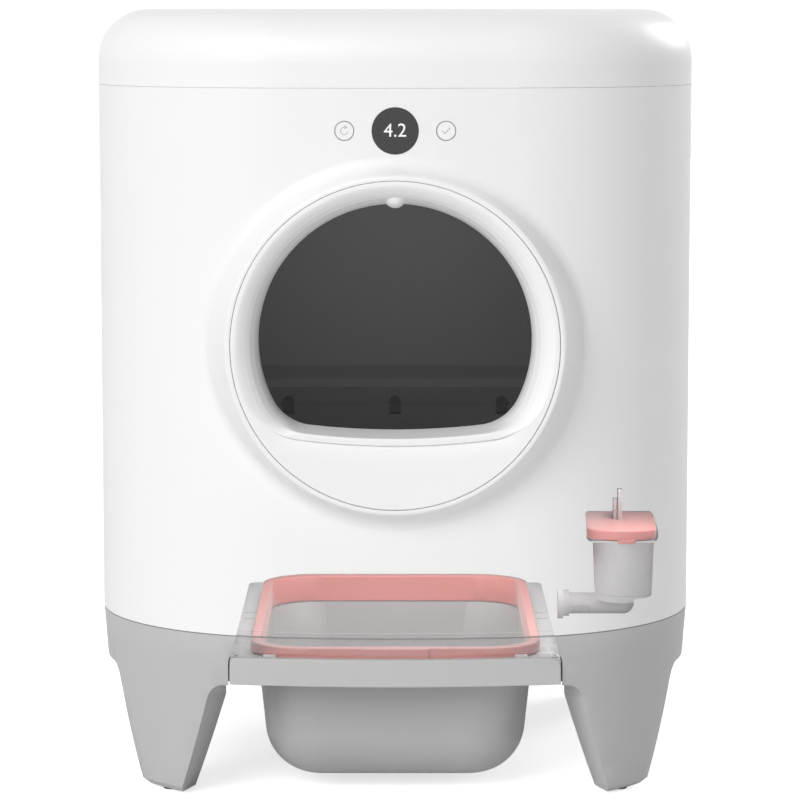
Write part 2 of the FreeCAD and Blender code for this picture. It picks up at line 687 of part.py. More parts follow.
def opening_wire(y, radius, centre_z, bottom_z, corner, sill):
    """The entrance's outline: a round top, two lower corners and a slightly bowed sill, all tangent."""
    sill_z = bottom_z + sill
    near = radius - corner
    far = sill - corner
    corner_z = (sill_z**2 - centre_z**2 - far**2 + near**2) / (2 * (sill_z - centre_z))
    corner_x = math.sqrt(near**2 - (corner_z - centre_z) ** 2)
    side = V(corner_x * radius / near, y, centre_z + (corner_z - centre_z) * radius / near)
    low = V(corner_x * sill / far, y, sill_z + (corner_z - sill_z) * sill / far)
    start = math.atan2(side.z - corner_z, side.x - corner_x)
    end = math.atan2(low.z - corner_z, low.x - corner_x)
    turn = (start + end) / 2
    bend = V(corner_x + corner * math.cos(turn), y, corner_z + corner * math.sin(turn))
    top = V(0, y, centre_z + radius)
    rise = (math.atan2(side.z - centre_z, side.x) + math.pi / 2) / 2
    shoulder = V(radius * math.cos(rise), y, centre_z + radius * math.sin(rise))
    bottom = V(0, y, bottom_z)
    drop = (math.atan2(low.z - sill_z, low.x) - math.pi / 2) / 2
    middle = V(sill * math.cos(drop), y, sill_z + sill * math.sin(drop))

    def mirrored(p):
        return V(-p.x, p.y, p.z)

    edges = [
        Part.Arc(top, shoulder, side),
        Part.Arc(side, bend, low),
        Part.Arc(low, middle, bottom),
        Part.Arc(bottom, mirrored(middle), mirrored(low)),
        Part.Arc(mirrored(low), mirrored(bend), mirrored(side)),
        Part.Arc(mirrored(side), mirrored(shoulder), top),
    ]
    return Part.Wire([edge.toShape() for edge in edges])


def funnel_solid(grow, front, length):
    """The space of the entrance: a trumpet from the wide front outline to the opening, then a sleeve."""
    throat = FACE_Y + FUNNEL_DEPTH
    share = 0.34
    middle_y = FACE_Y + FUNNEL_DEPTH * 0.36

    def between(wide, narrow):
        return narrow + (wide - narrow) * share + grow

    wires = [
        opening_wire(
            front, FUNNEL_RADIUS + grow, ENTRANCE_Z, FUNNEL_BOTTOM_Z - grow, FUNNEL_CORNER + grow,
            OPENING_SILL_RADIUS + grow,
        ),
        opening_wire(
            middle_y, between(FUNNEL_RADIUS, OPENING_RADIUS), OPENING_CENTRE_Z - 0.7,
            OPENING_BOTTOM_Z - (OPENING_BOTTOM_Z - FUNNEL_BOTTOM_Z) * share - grow,
            between(FUNNEL_CORNER, OPENING_CORNER), OPENING_SILL_RADIUS + grow,
        ),
        opening_wire(
            throat, OPENING_RADIUS + grow, OPENING_CENTRE_Z, OPENING_BOTTOM_Z - grow,
            OPENING_CORNER + grow, OPENING_SILL_RADIUS + grow,
        ),
    ]
    trumpet = Part.makeLoft(wires, True, False)
    sleeve = Part.Face(wires[-1]).extrude(V(0, length, 0))
    return trumpet, sleeve


def entrance_ring():
    """The white ring in the housing's round hole, drawn in like a funnel to the opening."""
    skin = FUNNEL_WALL
    plate = disc_y(0, ENTRANCE_Z, ENTRANCE_RADIUS, FACE_Y, FACE_Y + skin)
    rim = tube_y(0, ENTRANCE_Z, ENTRANCE_RADIUS, ENTRANCE_RADIUS - skin, FACE_Y, FACE_Y + 3.4 * skin)
    flange = tube_y(
        0, ENTRANCE_Z, ENTRANCE_RADIUS + 2.5, ENTRANCE_RADIUS - skin, FACE_Y + 2.6 * skin, FACE_Y + 3.4 * skin
    )
    outer, outer_sleeve = funnel_solid(skin, FACE_Y, SLEEVE_LENGTH)
    outer = outer.common(disc_y(0, ENTRANCE_Z, ENTRANCE_RADIUS, FACE_Y, 0))
    inner, inner_sleeve = funnel_solid(0, FACE_Y, SLEEVE_LENGTH + 1)
    solid = plate.fuse([rim, flange, outer, outer_sleeve])
    solid = solid.cut(inner).cut(inner_sleeve)
    solid = solid.cut(disc_y(0, SENSOR_Z, SENSOR_RADIUS + SENSOR_GAP, FACE_Y, FACE_Y + FUNNEL_DEPTH + SLEEVE_LENGTH))
    return solid.removeSplitter()


def sensor_dome():
    """A smooth dome over the presence sensor at the top of the entrance."""
    front = FACE_Y + FUNNEL_DEPTH / 3
    back = FACE_Y + FUNNEL_DEPTH + SLEEVE_LENGTH / 2
    solid = disc_y(0, SENSOR_Z, SENSOR_RADIUS, front, back)
    nose = [edge for edge in solid.Edges if abs(edge.BoundBox.YMax - front) < 1e-6]
    return solid.makeFillet(SENSOR_RADIUS * 0.7, nose)


def mouth_collar():
    """The dark ring that leads from the entrance into the drum's mouth without touching it."""
    back = FACE_Y + FUNNEL_DEPTH + SLEEVE_LENGTH
    sleeve = funnel_solid(FUNNEL_WALL + FIT_GAP, FACE_Y, SLEEVE_LENGTH + 10)[1]
    radius = DRUM_MOUTH_RADIUS - MOUTH_GAP
    plate = disc_y(0, ENTRANCE_Z, radius, back - FUNNEL_WALL, back)
    plate = plate.cut(sleeve)
    skirt = tube_y(0, ENTRANCE_Z, radius, radius - FUNNEL_WALL, back - FUNNEL_WALL, -DRUM_Y + 9)
    return plate.fuse(skirt).removeSplitter()


def display_window():
    return disc_y(0, CONTROL_Z, DISPLAY_RADIUS, -HALF_DEPTH, -HALF_DEPTH + WALL - 1)


def button(side):
    """A round key: cap through the wall, flange behind it and a stem towards the board."""
    x = side * BUTTON_SPACING / 2
    front = -HALF_DEPTH + x**2 / (2 * front_arc_radius())
    back = front + WALL + CONTROL_GAP
    stem_end = BOARD_Y - BUTTON_TRAVEL - CONTROL_GAP
    cap = disc_y(x, CONTROL_Z, BUTTON_RADIUS, front, back + BUTTON_FLANGE / 2)
    rim = [edge for edge in cap.Edges if abs(edge.BoundBox.YMax - front) < 1e-6]
    cap = cap.makeFillet(0.6, rim)
    flange = disc_y(x, CONTROL_Z, BUTTON_RADIUS + BUTTON_FLANGE, back + 0.4, back + BUTTON_FLANGE)
    stem = disc_y(x, CONTROL_Z, BUTTON_RADIUS / 3, back, stem_end)
    return cap.fuse([flange, stem]).removeSplitter()


def control_board():
    """The circuit board behind the front wall with the display module."""
    half = BOARD_WIDTH / 2
    low = CONTROL_Z - BOARD_HEIGHT / 2
    high = CONTROL_Z + BOARD_HEIGHT / 2
    board = box(-half, half, BOARD_Y, BOARD_Y + BOARD_THICKNESS, low, high)
    module = disc_y(0, CONTROL_Z, DISPLAY_RADIUS - 3, -HALF_DEPTH + WALL - 0.8, BOARD_Y + 0.5)
    chip = box(-12, 12, BOARD_Y + BOARD_THICKNESS - 0.2, BOARD_Y + BOARD_THICKNESS + 3, low + 8, low + 26)
    return board.fuse([module, chip]).removeSplitter()


def top_lid():
    """The lift-off lid: a hollow cap with a large soft edge and a locating lip."""
    z0 = LID_SEAM_Z + LID_GAP
    outer = plan_prism(0, z0, BODY_HEIGHT)
    rim = [edge for edge in outer.Edges if abs(edge.BoundBox.ZMin - BODY_HEIGHT) < 1e-3]
    outer = outer.makeFillet(LID_EDGE_RADIUS, rim)
    inner = plan_prism(WALL, z0 - 1, BODY_HEIGHT - WALL)
    rim = [edge for edge in inner.Edges if abs(edge.BoundBox.ZMin - BODY_HEIGHT + WALL) < 1e-3]
    inner = inner.makeFillet(LID_EDGE_RADIUS - WALL, rim)
    solid = outer.cut(inner)
    lip = plan_hoop(WALL + LIP_GAP, WALL + LIP_GAP + LIP_WALL, LID_SEAM_Z - LIP_LENGTH, z0 + 4)
    collar = plan_hoop(WALL - 0.5, WALL + LIP_GAP + LIP_WALL, z0, z0 + 4)
    return solid.fuse([lip, collar]).removeSplitter()


def drawer_runner(side):
    """A C-shaped rail under the deck that the drawer frame slides in."""
    inner = FRAME_HALF + FRAME_GAP
    top = FRAME_BOTTOM_Z - RUNNER_GAP
    back = BAY_BACK_Y - 2
    front = -HALF_DEPTH
    web = box(inner, inner + RUNNER_WALL, front, back, top - RUNNER_WALL, DECK_Z)
    ledge = box(inner + RUNNER_WALL - RUNNER_LEDGE, inner + RUNNER_WALL, front, back, top - RUNNER_WALL, top)
    flange = box(inner, BAY_HALF + 14, front, back, DECK_Z - RUNNER_WALL, DECK_Z)
    low = top - RUNNER_WALL
    room = plan_prism(WALL + DECK_LEDGE + skirt_inset(low), low, DECK_Z)
    solid = web.fuse([ledge, flange]).common(room)
    if side < 0:
        solid = solid.mirror(V(0, 0, 0), V(1, 0, 0))
    return solid.removeSplitter()


def drawer_panel():
    """The drawer's front, flush with the base skirt and cut from the same drafted surface."""
    z0, z1 = PANEL_BOTTOM_Z - 1, PANEL_TOP_Z + 1
    skin = skirt_solid(0, z0, z1).cut(plan_prism(panel_back_inset(), z0 - 1, z1 + 1))
    return skin.common(notch(0, -BODY_DEPTH, -HALF_DEPTH / 2))


def panel_back_inset():
    return skirt_inset(PANEL_TOP_Z) + PANEL_THICKNESS


def drawer_frame():
    """The sliding tray round the bag ring, with clip posts, slots and guide ribs."""
    outline = box(-FRAME_HALF, FRAME_HALF, -BODY_DEPTH, FRAME_BACK_Y, FRAME_BOTTOM_Z, FRAME_TOP_Z)
    solid = outline.common(plan_prism(panel_back_inset() + FIT_GAP, FRAME_BOTTOM_Z, FRAME_TOP_Z))
    side = bin_collar_side() - RING_GAP - 0.1
    end = bin_collar_end() - RING_GAP - 0.1
    solid = solid.cut(ring_prism(side, end, RING_CORNER - side, FRAME_BOTTOM_Z - 1, FRAME_TOP_Z + 1))
    for sx in (-1, 1):
        solid = solid.fuse(frame_post(sx))
        solid = solid.fuse(frame_rib(sx))
        for place in FRAME_SLOT_PLACES:
            solid = solid.cut(frame_slot(sx, RING_MID_Y + place))
        hole_x = sx * (RING_WIDTH / 2 + FRAME_HOLE_OUT)
        hole_y = RING_FRONT_Y + FRAME_HOLE_START
        solid = solid.cut(disc_z(hole_x, hole_y, FRAME_HOLE_RADIUS, FRAME_TOP_Z - FRAME_HOLE_DEPTH, FRAME_TOP_Z + 1))
    return solid.removeSplitter()


def frame_post(side):
    """The post that the bag ring's front corner clips over."""
    x = side * RING_CLIP_X
    half = RING_CLIP_WIDTH / 2
    top = RING_TOP_Z - RING_PLATE - 2
    return box(x - half, x + half, RING_FRONT_Y - 3, RING_FRONT_Y + RING_CLIP_RECESS, FRAME_TOP_Z - 1, top)


def frame_rib(side):
    """A low guide rib along the frame's edge."""
    x = side * (FRAME_HALF - FRAME_RIB_INSET)
    start = RING_FRONT_Y + FRAME_RIB_START
    top = FRAME_TOP_Z + FRAME_RIB_HEIGHT
    return box(x - FRAME_RIB_HALF, x + FRAME_RIB_HALF, start, start + FRAME_RIB_LENGTH, FRAME_TOP_Z - 1, top)


def frame_slot(side, y):
    x = side * (FRAME_HALF - FRAME_SLOT_INSET)
    half = FRAME_SLOT_LENGTH / 2
    reach = FRAME_SLOT_WIDTH / 2
    return box(x - half, x + half, y - reach, y + reach, FRAME_TOP_Z - FRAME_SLOT_DEPTH, FRAME_TOP_Z + 1)


def bin_collar_side():
    """How far the bin collar's outside lies in from the bag ring's outline, at the sides."""
    return RING_SIDE_BAND - RING_WALL - RING_GAP - BIN_WALL


def bin_collar_end():
    return RING_END_BAND - RING_WALL - RING_GAP - BIN_WALL


def bag_ring():
    """The pink ring that clamps the bag: a flat band with an outer skirt and an inner sleeve."""
    plate_z = RING_TOP_Z - RING_PLATE
    skirt_z = FRAME_TOP_Z + 1.0
    outer = ring_prism(0, 0, RING_CORNER, skirt_z, RING_TOP_Z)
    under = ring_prism(RING_WALL, RING_WALL, RING_CORNER - RING_WALL, skirt_z - 1, plate_z)
    solid = outer.cut(under)
    inner_corner = RING_CORNER - RING_SIDE_BAND
    sleeve_corner = inner_corner + RING_WALL
    sleeve = ring_prism(
        RING_SIDE_BAND - RING_WALL, RING_END_BAND - RING_WALL, sleeve_corner, RING_TOP_Z - RING_SLEEVE, plate_z + 1
    )
    solid = solid.fuse(sleeve)
    solid = solid.cut(
        ring_prism(RING_SIDE_BAND, RING_END_BAND, inner_corner, RING_TOP_Z - RING_SLEEVE - 1, RING_TOP_Z + 1)
    )
    front = RING_FRONT_Y
    tab = box(-RING_TAB_WIDTH / 2, RING_TAB_WIDTH / 2, front - RING_TAB_OUT, front + RING_WALL, skirt_z, RING_TOP_Z)
    solid = solid.fuse(tab)
    for sx in (-1, 1):
        x = sx * RING_CLIP_X
        gap = RING_CLIP_WIDTH / 2 + 2
        reach = front + RING_CLIP_RECESS + 1.5
        solid = solid.cut(box(x - gap, x + gap, front - 5, reach, skirt_z - 1, plate_z - 1))
    return solid.removeSplitter()


def bin_tub(inset):
    """The bin below its shoulder: drafted sides, rounded corners and a large radius to the floor."""
    slope = math.tan(math.radians(BIN_DRAFT))
    side = bin_collar_side() + BIN_SHOULDER + inset
    end = bin_collar_end() + BIN_SHOULDER + inset
    drop = (BIN_SHOULDER_Z - BIN_FLOOR_Z) * slope
    z0 = BIN_FLOOR_Z + inset
    z1 = BIN_SHOULDER_Z + (inset * 2 if inset > 0 else 0)
    corner = RING_CORNER - inset
    low = rounded_wire(RING_WIDTH / 2 - side - drop, RING_LENGTH / 2 - end - drop, corner, z0)
    high = rounded_wire(RING_WIDTH / 2 - side, RING_LENGTH / 2 - end, corner, z1)
    tub = Part.makeLoft([low, high], True, True)
    floor = [edge for edge in tub.Edges if edge.BoundBox.ZMax < z0 + 1e-3]
    return tub.makeFillet(BIN_FLOOR_RADIUS - inset, floor)


def waste_bin():
    """The grey bin: tub, stepped collar for the bag ring's sleeve and a rim flange on the frame."""
    side = bin_collar_side()
    end = bin_collar_end()
    flange_z = FRAME_TOP_Z + 0.2
    flange_side = RING_WALL + RING_GAP
    collar = ring_prism(side, end, RING_CORNER - side, BIN_SHOULDER_Z, flange_z + 0.5)
    flange = ring_prism(flange_side, flange_side, RING_CORNER - flange_side, flange_z, flange_z + BIN_FLANGE)
    solid = bin_tub(0).fuse([collar, flange])
    inner_side = side + BIN_WALL
    inner_end = end + BIN_WALL
    well = ring_prism(
        inner_side, inner_end, RING_CORNER - inner_side, BIN_SHOULDER_Z + BIN_WALL, flange_z + BIN_FLANGE + 1
    )
    solid = solid.cut(well).cut(bin_tub(BIN_WALL))
    for sx in (-1, 1):
        for sy in (-1, 1):
            x = sx * (RING_WIDTH / 2 - BIN_PIP_SIDE)
            y = RING_MID_Y + sy * (RING_LENGTH / 2 - BIN_PIP_END)
            pip = disc_z(x, y, BIN_PIP_RADIUS, BIN_FLOOR_Z - BIN_PIP_HEIGHT, BIN_FLOOR_Z + 0.5)
            solid = solid.fuse(pip)
    return solid.removeSplitter()


def sector_prism(inner, outer, start, end, y0, y1):
    """Part of a tube about the drum's axis between two angles in degrees."""
    a, b = polar(start, inner), polar(start, outer)
    c, d = polar(end, outer), polar(end, inner)
    middle = (start + end) / 2
    far, near = polar(middle, outer), polar(middle, inner)

    def at(p):
        return V(p[0], y0, p[1])

    edges = [
        Part.LineSegment(at(a), at(b)),
        Part.Arc(at(b), at(far), at(c)),
        Part.LineSegment(at(c), at(d)),
        Part.Arc(at(d), at(near), at(a)),
    ]
    face = Part.Face(Part.Wire([edge.toShape() for edge in edges]))
    return face.extrude(V(0, y1 - y0, 0))


def drum_wall():
    """The turning drum's round wall, open at both ends, with the waste port."""
    inner = DRUM_RADIUS - DRUM_WALL
    reach = DRUM_Y - DRUM_WALL - FIT_GAP
    solid = tube_y(0, ENTRANCE_Z, DRUM_RADIUS, inner, -reach, reach)
    start = PORT_ANGLE - PORT_SPAN / 2
    end = PORT_ANGLE + PORT_SPAN / 2
    port = sector_prism(inner - 10, DRUM_RADIUS + 20, start, end, -PORT_LENGTH / 2, PORT_LENGTH / 2)
    return solid.cut(port)


def drum_rim(y0, y1):
    """The rim of an end plate, over the end of the drum's wall."""
    inner = DRUM_RADIUS + FIT_GAP
    return tube_y(0, ENTRANCE_Z, inner + DRUM_RIM, inner, y0, y1)


def drum_front():
    """The drum's front plate with the round mouth."""
    outer = DRUM_RADIUS + FIT_GAP + DRUM_RIM
    plate = tube_y(0, ENTRANCE_Z, outer, DRUM_MOUTH_RADIUS, -DRUM_Y, -DRUM_Y + DRUM_WALL)
    return plate.fuse(drum_rim(-DRUM_Y, -DRUM_Y + DRUM_RIM_LENGTH)).removeSplitter()


def drum_back():
    """The drum's closed rear plate, with a sloped ledge inside it that the liner stops against."""
    outer = DRUM_RADIUS + FIT_GAP + DRUM_RIM
    inner = DRUM_RADIUS - DRUM_WALL - FIT_GAP
    back = DRUM_Y - DRUM_WALL
    plate = disc_y(0, ENTRANCE_Z, outer, back, DRUM_Y)
    ledge = box(-inner, inner, back - LEDGE_DEPTH, back + 1, ENTRANCE_Z - inner, LEDGE_Z)
    slope = Part.Face(
        Part.makePolygon(
            [
                V(-inner, back - LEDGE_DEPTH, LEDGE_Z),
                V(-inner, back + 1, LEDGE_Z),
                V(-inner, back + 1, LEDGE_Z + LEDGE_SLOPE),
                V(-inner, back - LEDGE_DEPTH, LEDGE_Z),
            ]
        )
    ).extrude(V(2 * inner, 0, 0))
    ledge = ledge.fuse(slope).common(disc_y(0, ENTRANCE_Z, inner, 0, DRUM_Y))
    return plate.fuse([drum_rim(DRUM_Y - DRUM_RIM_LENGTH, DRUM_Y), ledge]).removeSplitter()


def drum_track(y):
    """A hoop on the drum that runs on the support rollers."""
    inner = DRUM_RADIUS + FIT_GAP
    return tube_y(0, ENTRANCE_Z, TRACK_RADIUS, inner, y - TRACK_WIDTH / 2, y + TRACK_WIDTH / 2)


def litter_liner():
    """The pull-out liner in the drum's lower part, turned up in front of the rear ledge."""
    outer = DRUM_RADIUS - DRUM_WALL - LINER_GAP
    start = DOWN - LINER_SPAN / 2
    end = DOWN + LINER_SPAN / 2
    back = DRUM_Y - DRUM_WALL - LEDGE_DEPTH - LINER_GAP
    front = -DRUM_Y + DRUM_WALL + LINER_GAP
    mat = sector_prism(outer - LINER_THICKNESS, outer, start, end, front, back)
    wall = box(-outer, outer, back - LINER_THICKNESS, back, ENTRANCE_Z - outer, LINER_TOP_Z)
    step = box(-outer, outer, back - LINER_THICKNESS - LINER_STEP, back, ENTRANCE_Z - outer, LINER_STEP_Z)
    cap = disc_y(0, ENTRANCE_Z, outer, back - 20, back)
    return mat.fuse([wall.common(cap), step.common(cap)]).removeSplitter()


def liner_clips():
    """Three small arched catches that hold the liner's rear edge."""
    back = DRUM_Y - DRUM_WALL - LEDGE_DEPTH - LINER_GAP - LINER_THICKNESS
    top = LINER_STEP_Z + CLIP_HEIGHT / 2
    clips = []
    for x in (-CLIP_SPACING, 0, CLIP_SPACING):
        radius = CLIP_WIDTH / 2
        front = back - LINER_STEP - CLIP_DEPTH
        arch = disc_y(x, top - radius, radius, front, back)
        stem = box(x - radius, x + radius, front, back, top - CLIP_HEIGHT, top - radius)
        hollow = disc_y(x, top - radius, radius - CLIP_RIM, front - 1, front + CLIP_DEPTH / 2)
        step = box(x - CLIP_WIDTH, x + CLIP_WIDTH, back - LINER_STEP - FIT_GAP, back + 1, 0, LINER_STEP_Z + FIT_GAP)
        clips.append(arch.fuse(stem).removeSplitter().cut(hollow.fuse(step)))
    return Part.makeCompound(clips)


def sieve():
    """The curved sieve beside the waste port: slotted face and two radial webs to the drum wall."""
    outer = DRUM_RADIUS - DRUM_WALL - LINER_GAP
    front = -DRUM_Y + DRUM_WALL + LINER_GAP
    back = DRUM_Y - DRUM_WALL - LEDGE_DEPTH - LINER_GAP
    face = sector_prism(SIEVE_RADIUS, SIEVE_RADIUS + SIEVE_WALL, SIEVE_START, SIEVE_END, front, back)
    web_turn = math.degrees(SIEVE_WALL / outer)
    first = sector_prism(SIEVE_RADIUS, outer, SIEVE_START, SIEVE_START + web_turn, front, back)
    last = sector_prism(SIEVE_RADIUS, outer, SIEVE_END - web_turn, SIEVE_END, front, back)
    solid = face.fuse([first, last]).removeSplitter()
    pitch_angle = (SIEVE_END - SIEVE_START) / SIEVE_COLUMNS
    pitch_y = (back - front) / SIEVE_ROWS
    slots = []
    for column in range(SIEVE_COLUMNS):
        angle = SIEVE_START + pitch_angle * (column + 0.5)
        for row in range(SIEVE_ROWS):
            y = front + pitch_y * (row + 0.5)
            half = (pitch_y - SIEVE_WALL * 2) / 2
            slot = box(SIEVE_RADIUS - 5, SIEVE_RADIUS + 9, y - half, y + half, -SIEVE_SLOT / 2, SIEVE_SLOT / 2)
            slot.rotate(V(0, 0, 0), V(0, 1, 0), -angle)
            slot.translate(V(0, 0, ENTRANCE_Z))
            slots.append(slot)
    return solid.cut(Part.makeCompound(slots))


def involute_point(base, roll):
    """A point of an involute of a circle of radius base, as radius and angle."""
    radius = base * math.hypot(1, roll)
    return radius, roll - math.atan(roll)


def gear_wire(teeth, y, centre_x, centre_z, phase):
    """A spur gear outline: involute flanks as arcs, with round tips and roots, one tooth at phase."""
    pitch = GEAR_MODULE * teeth / 2
    tip = pitch + GEAR_MODULE * TOOTH_TIP
    root = pitch - GEAR_MODULE * TOOTH_ROOT
    base = pitch * math.cos(math.radians(PRESSURE_ANGLE))
    tip_roll = math.sqrt((tip / base) ** 2 - 1)
    low = max(root, base)
    low_roll = math.sqrt((low / base) ** 2 - 1)
    pitch_roll = math.tan(math.radians(PRESSURE_ANGLE))
    half_tooth = math.pi / (2 * teeth) - BACKLASH / 2 / pitch
    offset = half_tooth + involute_point(base, pitch_roll)[1]

    def at(radius, angle):
        turn = math.radians(phase) + angle
        return V(centre_x + radius * math.cos(turn), y, centre_z + radius * math.sin(turn))

    flank = []
    for roll in (low_roll, (low_roll + tip_roll) / 2, tip_roll):
        radius, angle = involute_point(base, roll)
        flank.append((radius, offset - angle))
    edges = []
    step = 2 * math.pi / teeth
    for tooth in range(teeth):
        turn = tooth * step
        low_right, mid_right, tip_right = [at(r, turn - a) for r, a in flank]
        low_left, mid_left, tip_left = [at(r, turn + a) for r, a in flank]
        root_right = at(root, turn - flank[0][1])
        root_left = at(root, turn + flank[0][1])
        if low > root + 1e-6:
            edges.append(Part.LineSegment(root_right, low_right))
        edges.append(Part.Arc(low_right, mid_right, tip_right))
        edges.append(Part.LineSegment(tip_right, tip_left))
        edges.append(Part.Arc(tip_left, mid_left, low_left))
        if low > root + 1e-6:
            edges.append(Part.LineSegment(low_left, root_left))
        edges.append(Part.LineSegment(root_left, at(root, turn + step - flank[0][1])))
    return Part.Wire([edge.toShape() for edge in edges])


def pinion_place():
    distance = GEAR_MODULE * (RING_TEETH + PINION_TEETH) / 2
    return polar(PINION_ANGLE, distance)


def gear_ring():
    """The toothed ring round the drum's rear that the drive pinion turns."""
    wire = gear_wire(RING_TEETH, GEAR_Y, 0, ENTRANCE_Z, PINION_ANGLE)
    solid = Part.Face(wire).extrude(V(0, GEAR_WIDTH, 0))
    return solid.cut(disc_y(0, ENTRANCE_Z, DRUM_RADIUS + FIT_GAP, GEAR_Y - 1, GEAR_Y + GEAR_WIDTH + 1))


def drive_pinion():
    """The pinion with its hub, one tooth gap turned to the gear ring."""
    x, z = pinion_place()
    phase = PINION_ANGLE + 180 + 180 / PINION_TEETH
    wire = gear_wire(PINION_TEETH, GEAR_Y, x, z, phase)
    solid = Part.Face(wire).extrude(V(0, GEAR_WIDTH, 0))
    hub = disc_y(x, z, SHAFT_RADIUS * 2.5, GEAR_Y, GEAR_Y + GEAR_WIDTH + 5)
    solid = solid.fuse(hub)
    bore = SHAFT_RADIUS + AXLE_GAP
    return solid.cut(disc_y(x, z, bore, GEAR_Y - 1, GEAR_Y + GEAR_WIDTH + 10))


def bracket_y():
    """The front face of the drive bracket's plate, a hub's gap before the pinion."""
    return GEAR_Y - 3 - BRACKET_PLATE


def gearbox():
    x, z = pinion_place()
    y = bracket_y()
    body = disc_y(x, z, GEARBOX_RADIUS, y - GEARBOX_LENGTH, y)
    shaft = disc_y(x, z, SHAFT_RADIUS, y - 1, GEAR_Y + GEAR_WIDTH + 6)
    return body.fuse(shaft).removeSplitter()


def drive_motor():
    x, z = pinion_place()
    y = bracket_y() - GEARBOX_LENGTH
    can = disc_y(x, z, MOTOR_RADIUS, y - MOTOR_LENGTH, y)
    cap = disc_y(x, z, MOTOR_RADIUS / 2, y - MOTOR_LENGTH - 3, y - MOTOR_LENGTH + 1)
    return can.fuse(cap).removeSplitter()


def motor_bracket():
    """An angle bracket on the deck that carries the gearbox."""
    x, z = pinion_place()
    y = bracket_y()
    left = BAY_HALF + 3
    right = x + GEARBOX_RADIUS
    plate = polygon_y(
        [(left, DECK_TOP_Z), (right, DECK_TOP_Z), (right, z), (x + BRACKET_SHOULDER, z + GEARBOX_RADIUS),
         (x - BRACKET_SHOULDER, z + GEARBOX_RADIUS), (left, z)],
        y, y + BRACKET_PLATE,
    )
    foot = box(left, right, y - MOTOR_FOOT, y + BRACKET_PLATE, DECK_TOP_Z, DECK_TOP_Z + BRACKET_PLATE)
    solid = plate.fuse(foot)
    solid = solid.cut(disc_y(x, z, SHAFT_RADIUS + 1, y - 1, y + BRACKET_PLATE + 1))
    return solid.removeSplitter()


def roller_place(side):
    return polar(DOWN + side * ROLLER_ANGLE, ROLLER_DISTANCE)


def support_roller(side, y):
    x, z = roller_place(side)
    half = ROLLER_WIDTH / 2
    wheel = disc_y(x, z, ROLLER_RADIUS, y - half, y + half)
    return wheel.cut(disc_y(x, z, AXLE_RADIUS + AXLE_GAP, y - half - 1, y + half + 1))


def roller_bracket(side, y):
    """A fork on the deck: two cheeks with eyes for the axle, on one foot."""
    x, z = roller_place(1)
    half = ROLLER_WIDTH / 2 + 0.4
    near = BAY_HALF + 3
    far = x + BRACKET_REACH
    touch_x, touch_z = polar(EYE_TANGENT, EYE_RADIUS, x, z)
    cheek = BRACKET_PLATE
    parts = [box(near, far, y - half - cheek, y + half + cheek, DECK_TOP_Z, DECK_TOP_Z + BRACKET_PLATE)]
    for y0 in (y - half - cheek, y + half):
        outline = [(near, DECK_TOP_Z), (far, DECK_TOP_Z), (touch_x, touch_z), (x - EYE_RADIUS, z - 1)]
        parts.append(polygon_y(outline, y0, y0 + cheek))
        parts.append(disc_y(x, z, EYE_RADIUS, y0, y0 + cheek))
    solid = joined(parts)
    solid = solid.cut(disc_y(x, z, AXLE_RADIUS + FIT_GAP, y - 30, y + 30))
    if side < 0:
        solid = solid.mirror(V(0, 0, 0), V(1, 0, 0))
    return solid


def roller_axles():
    axles = []
    for side in (-1, 1):
        x, z = roller_place(side)
        for y in (FRONT_TRACK_Y, REAR_TRACK_Y):
            half = ROLLER_WIDTH / 2 + BRACKET_PLATE + AXLE_END
            axles.append(disc_y(x, z, AXLE_RADIUS, y - half, y + half))
    return Part.makeCompound(axles)


def deodoriser_cup():
    """The cup that holds the deodorant, drafted and open at the top."""
    height = CUP_TOP_Z - CUP_BOTTOM_Z
    place = V(CUP_X, CUP_Y, CUP_BOTTOM_Z)
    outer = Part.makeCone(CUP_BOTTOM_RADIUS, CUP_TOP_RADIUS, height, place)
    low = V(CUP_X, CUP_Y, CUP_BOTTOM_Z + CUP_WALL)
    inner = Part.makeCone(CUP_BOTTOM_RADIUS - CUP_WALL, CUP_TOP_RADIUS - CUP_WALL, height - CUP_WALL + 0.01, low)
    return outer.cut(inner)


def mist_duct():
    """An elbow: a pipe along X that turns up into the cup's seat, with two small clip pins on top."""
    bore = DUCT_RADIUS - DUCT_WALL
    top = CUP_BOTTOM_Z - CUP_LID_GAP
    seat = disc_z(CUP_X, CUP_Y, CUP_BOTTOM_RADIUS, top - ADAPTER_HEIGHT, top)
    pipe = disc_x(CUP_Y, DUCT_Z, DUCT_RADIUS, DUCT_START_X, CUP_X)
    knee = Part.makeSphere(DUCT_RADIUS, V(CUP_X, CUP_Y, DUCT_Z))
    stub = disc_z(CUP_X, CUP_Y, DUCT_RADIUS, DUCT_Z, top)
    solid = pipe.fuse([knee, stub, seat]).removeSplitter()
    for x in (DUCT_START_X + 3, DUCT_START_X + 13):
        solid = solid.fuse(disc_z(x, CUP_Y, 0.8, DUCT_Z + DUCT_RADIUS - 1, DUCT_Z + DUCT_RADIUS + 2.2))
    hollow = disc_x(CUP_Y, DUCT_Z, bore, DUCT_START_X - 1, CUP_X)
    hollow = hollow.fuse(disc_z(CUP_X, CUP_Y, bore, DUCT_Z, top + 1))
    hollow = hollow.fuse(Part.makeSphere(bore, V(CUP_X, CUP_Y, DUCT_Z)))
    return solid.cut(hollow)


def duct_flange():
    """The flanged coupling at the duct's end: a wide flange and a narrower collar."""
    neck = DUCT_START_X - COLLAR_LENGTH
    start = neck - FLANGE_LENGTH
    wide = disc_x(CUP_Y, DUCT_Z, FLANGE_RADIUS, start, neck)
    narrow = disc_x(CUP_Y, DUCT_Z, COLLAR_RADIUS, neck, DUCT_START_X)
    solid = wide.fuse(narrow).removeSplitter()
    bore = DUCT_RADIUS - DUCT_WALL
    return solid.cut(disc_x(CUP_Y, DUCT_Z, bore, start - 1, DUCT_START_X + 1))


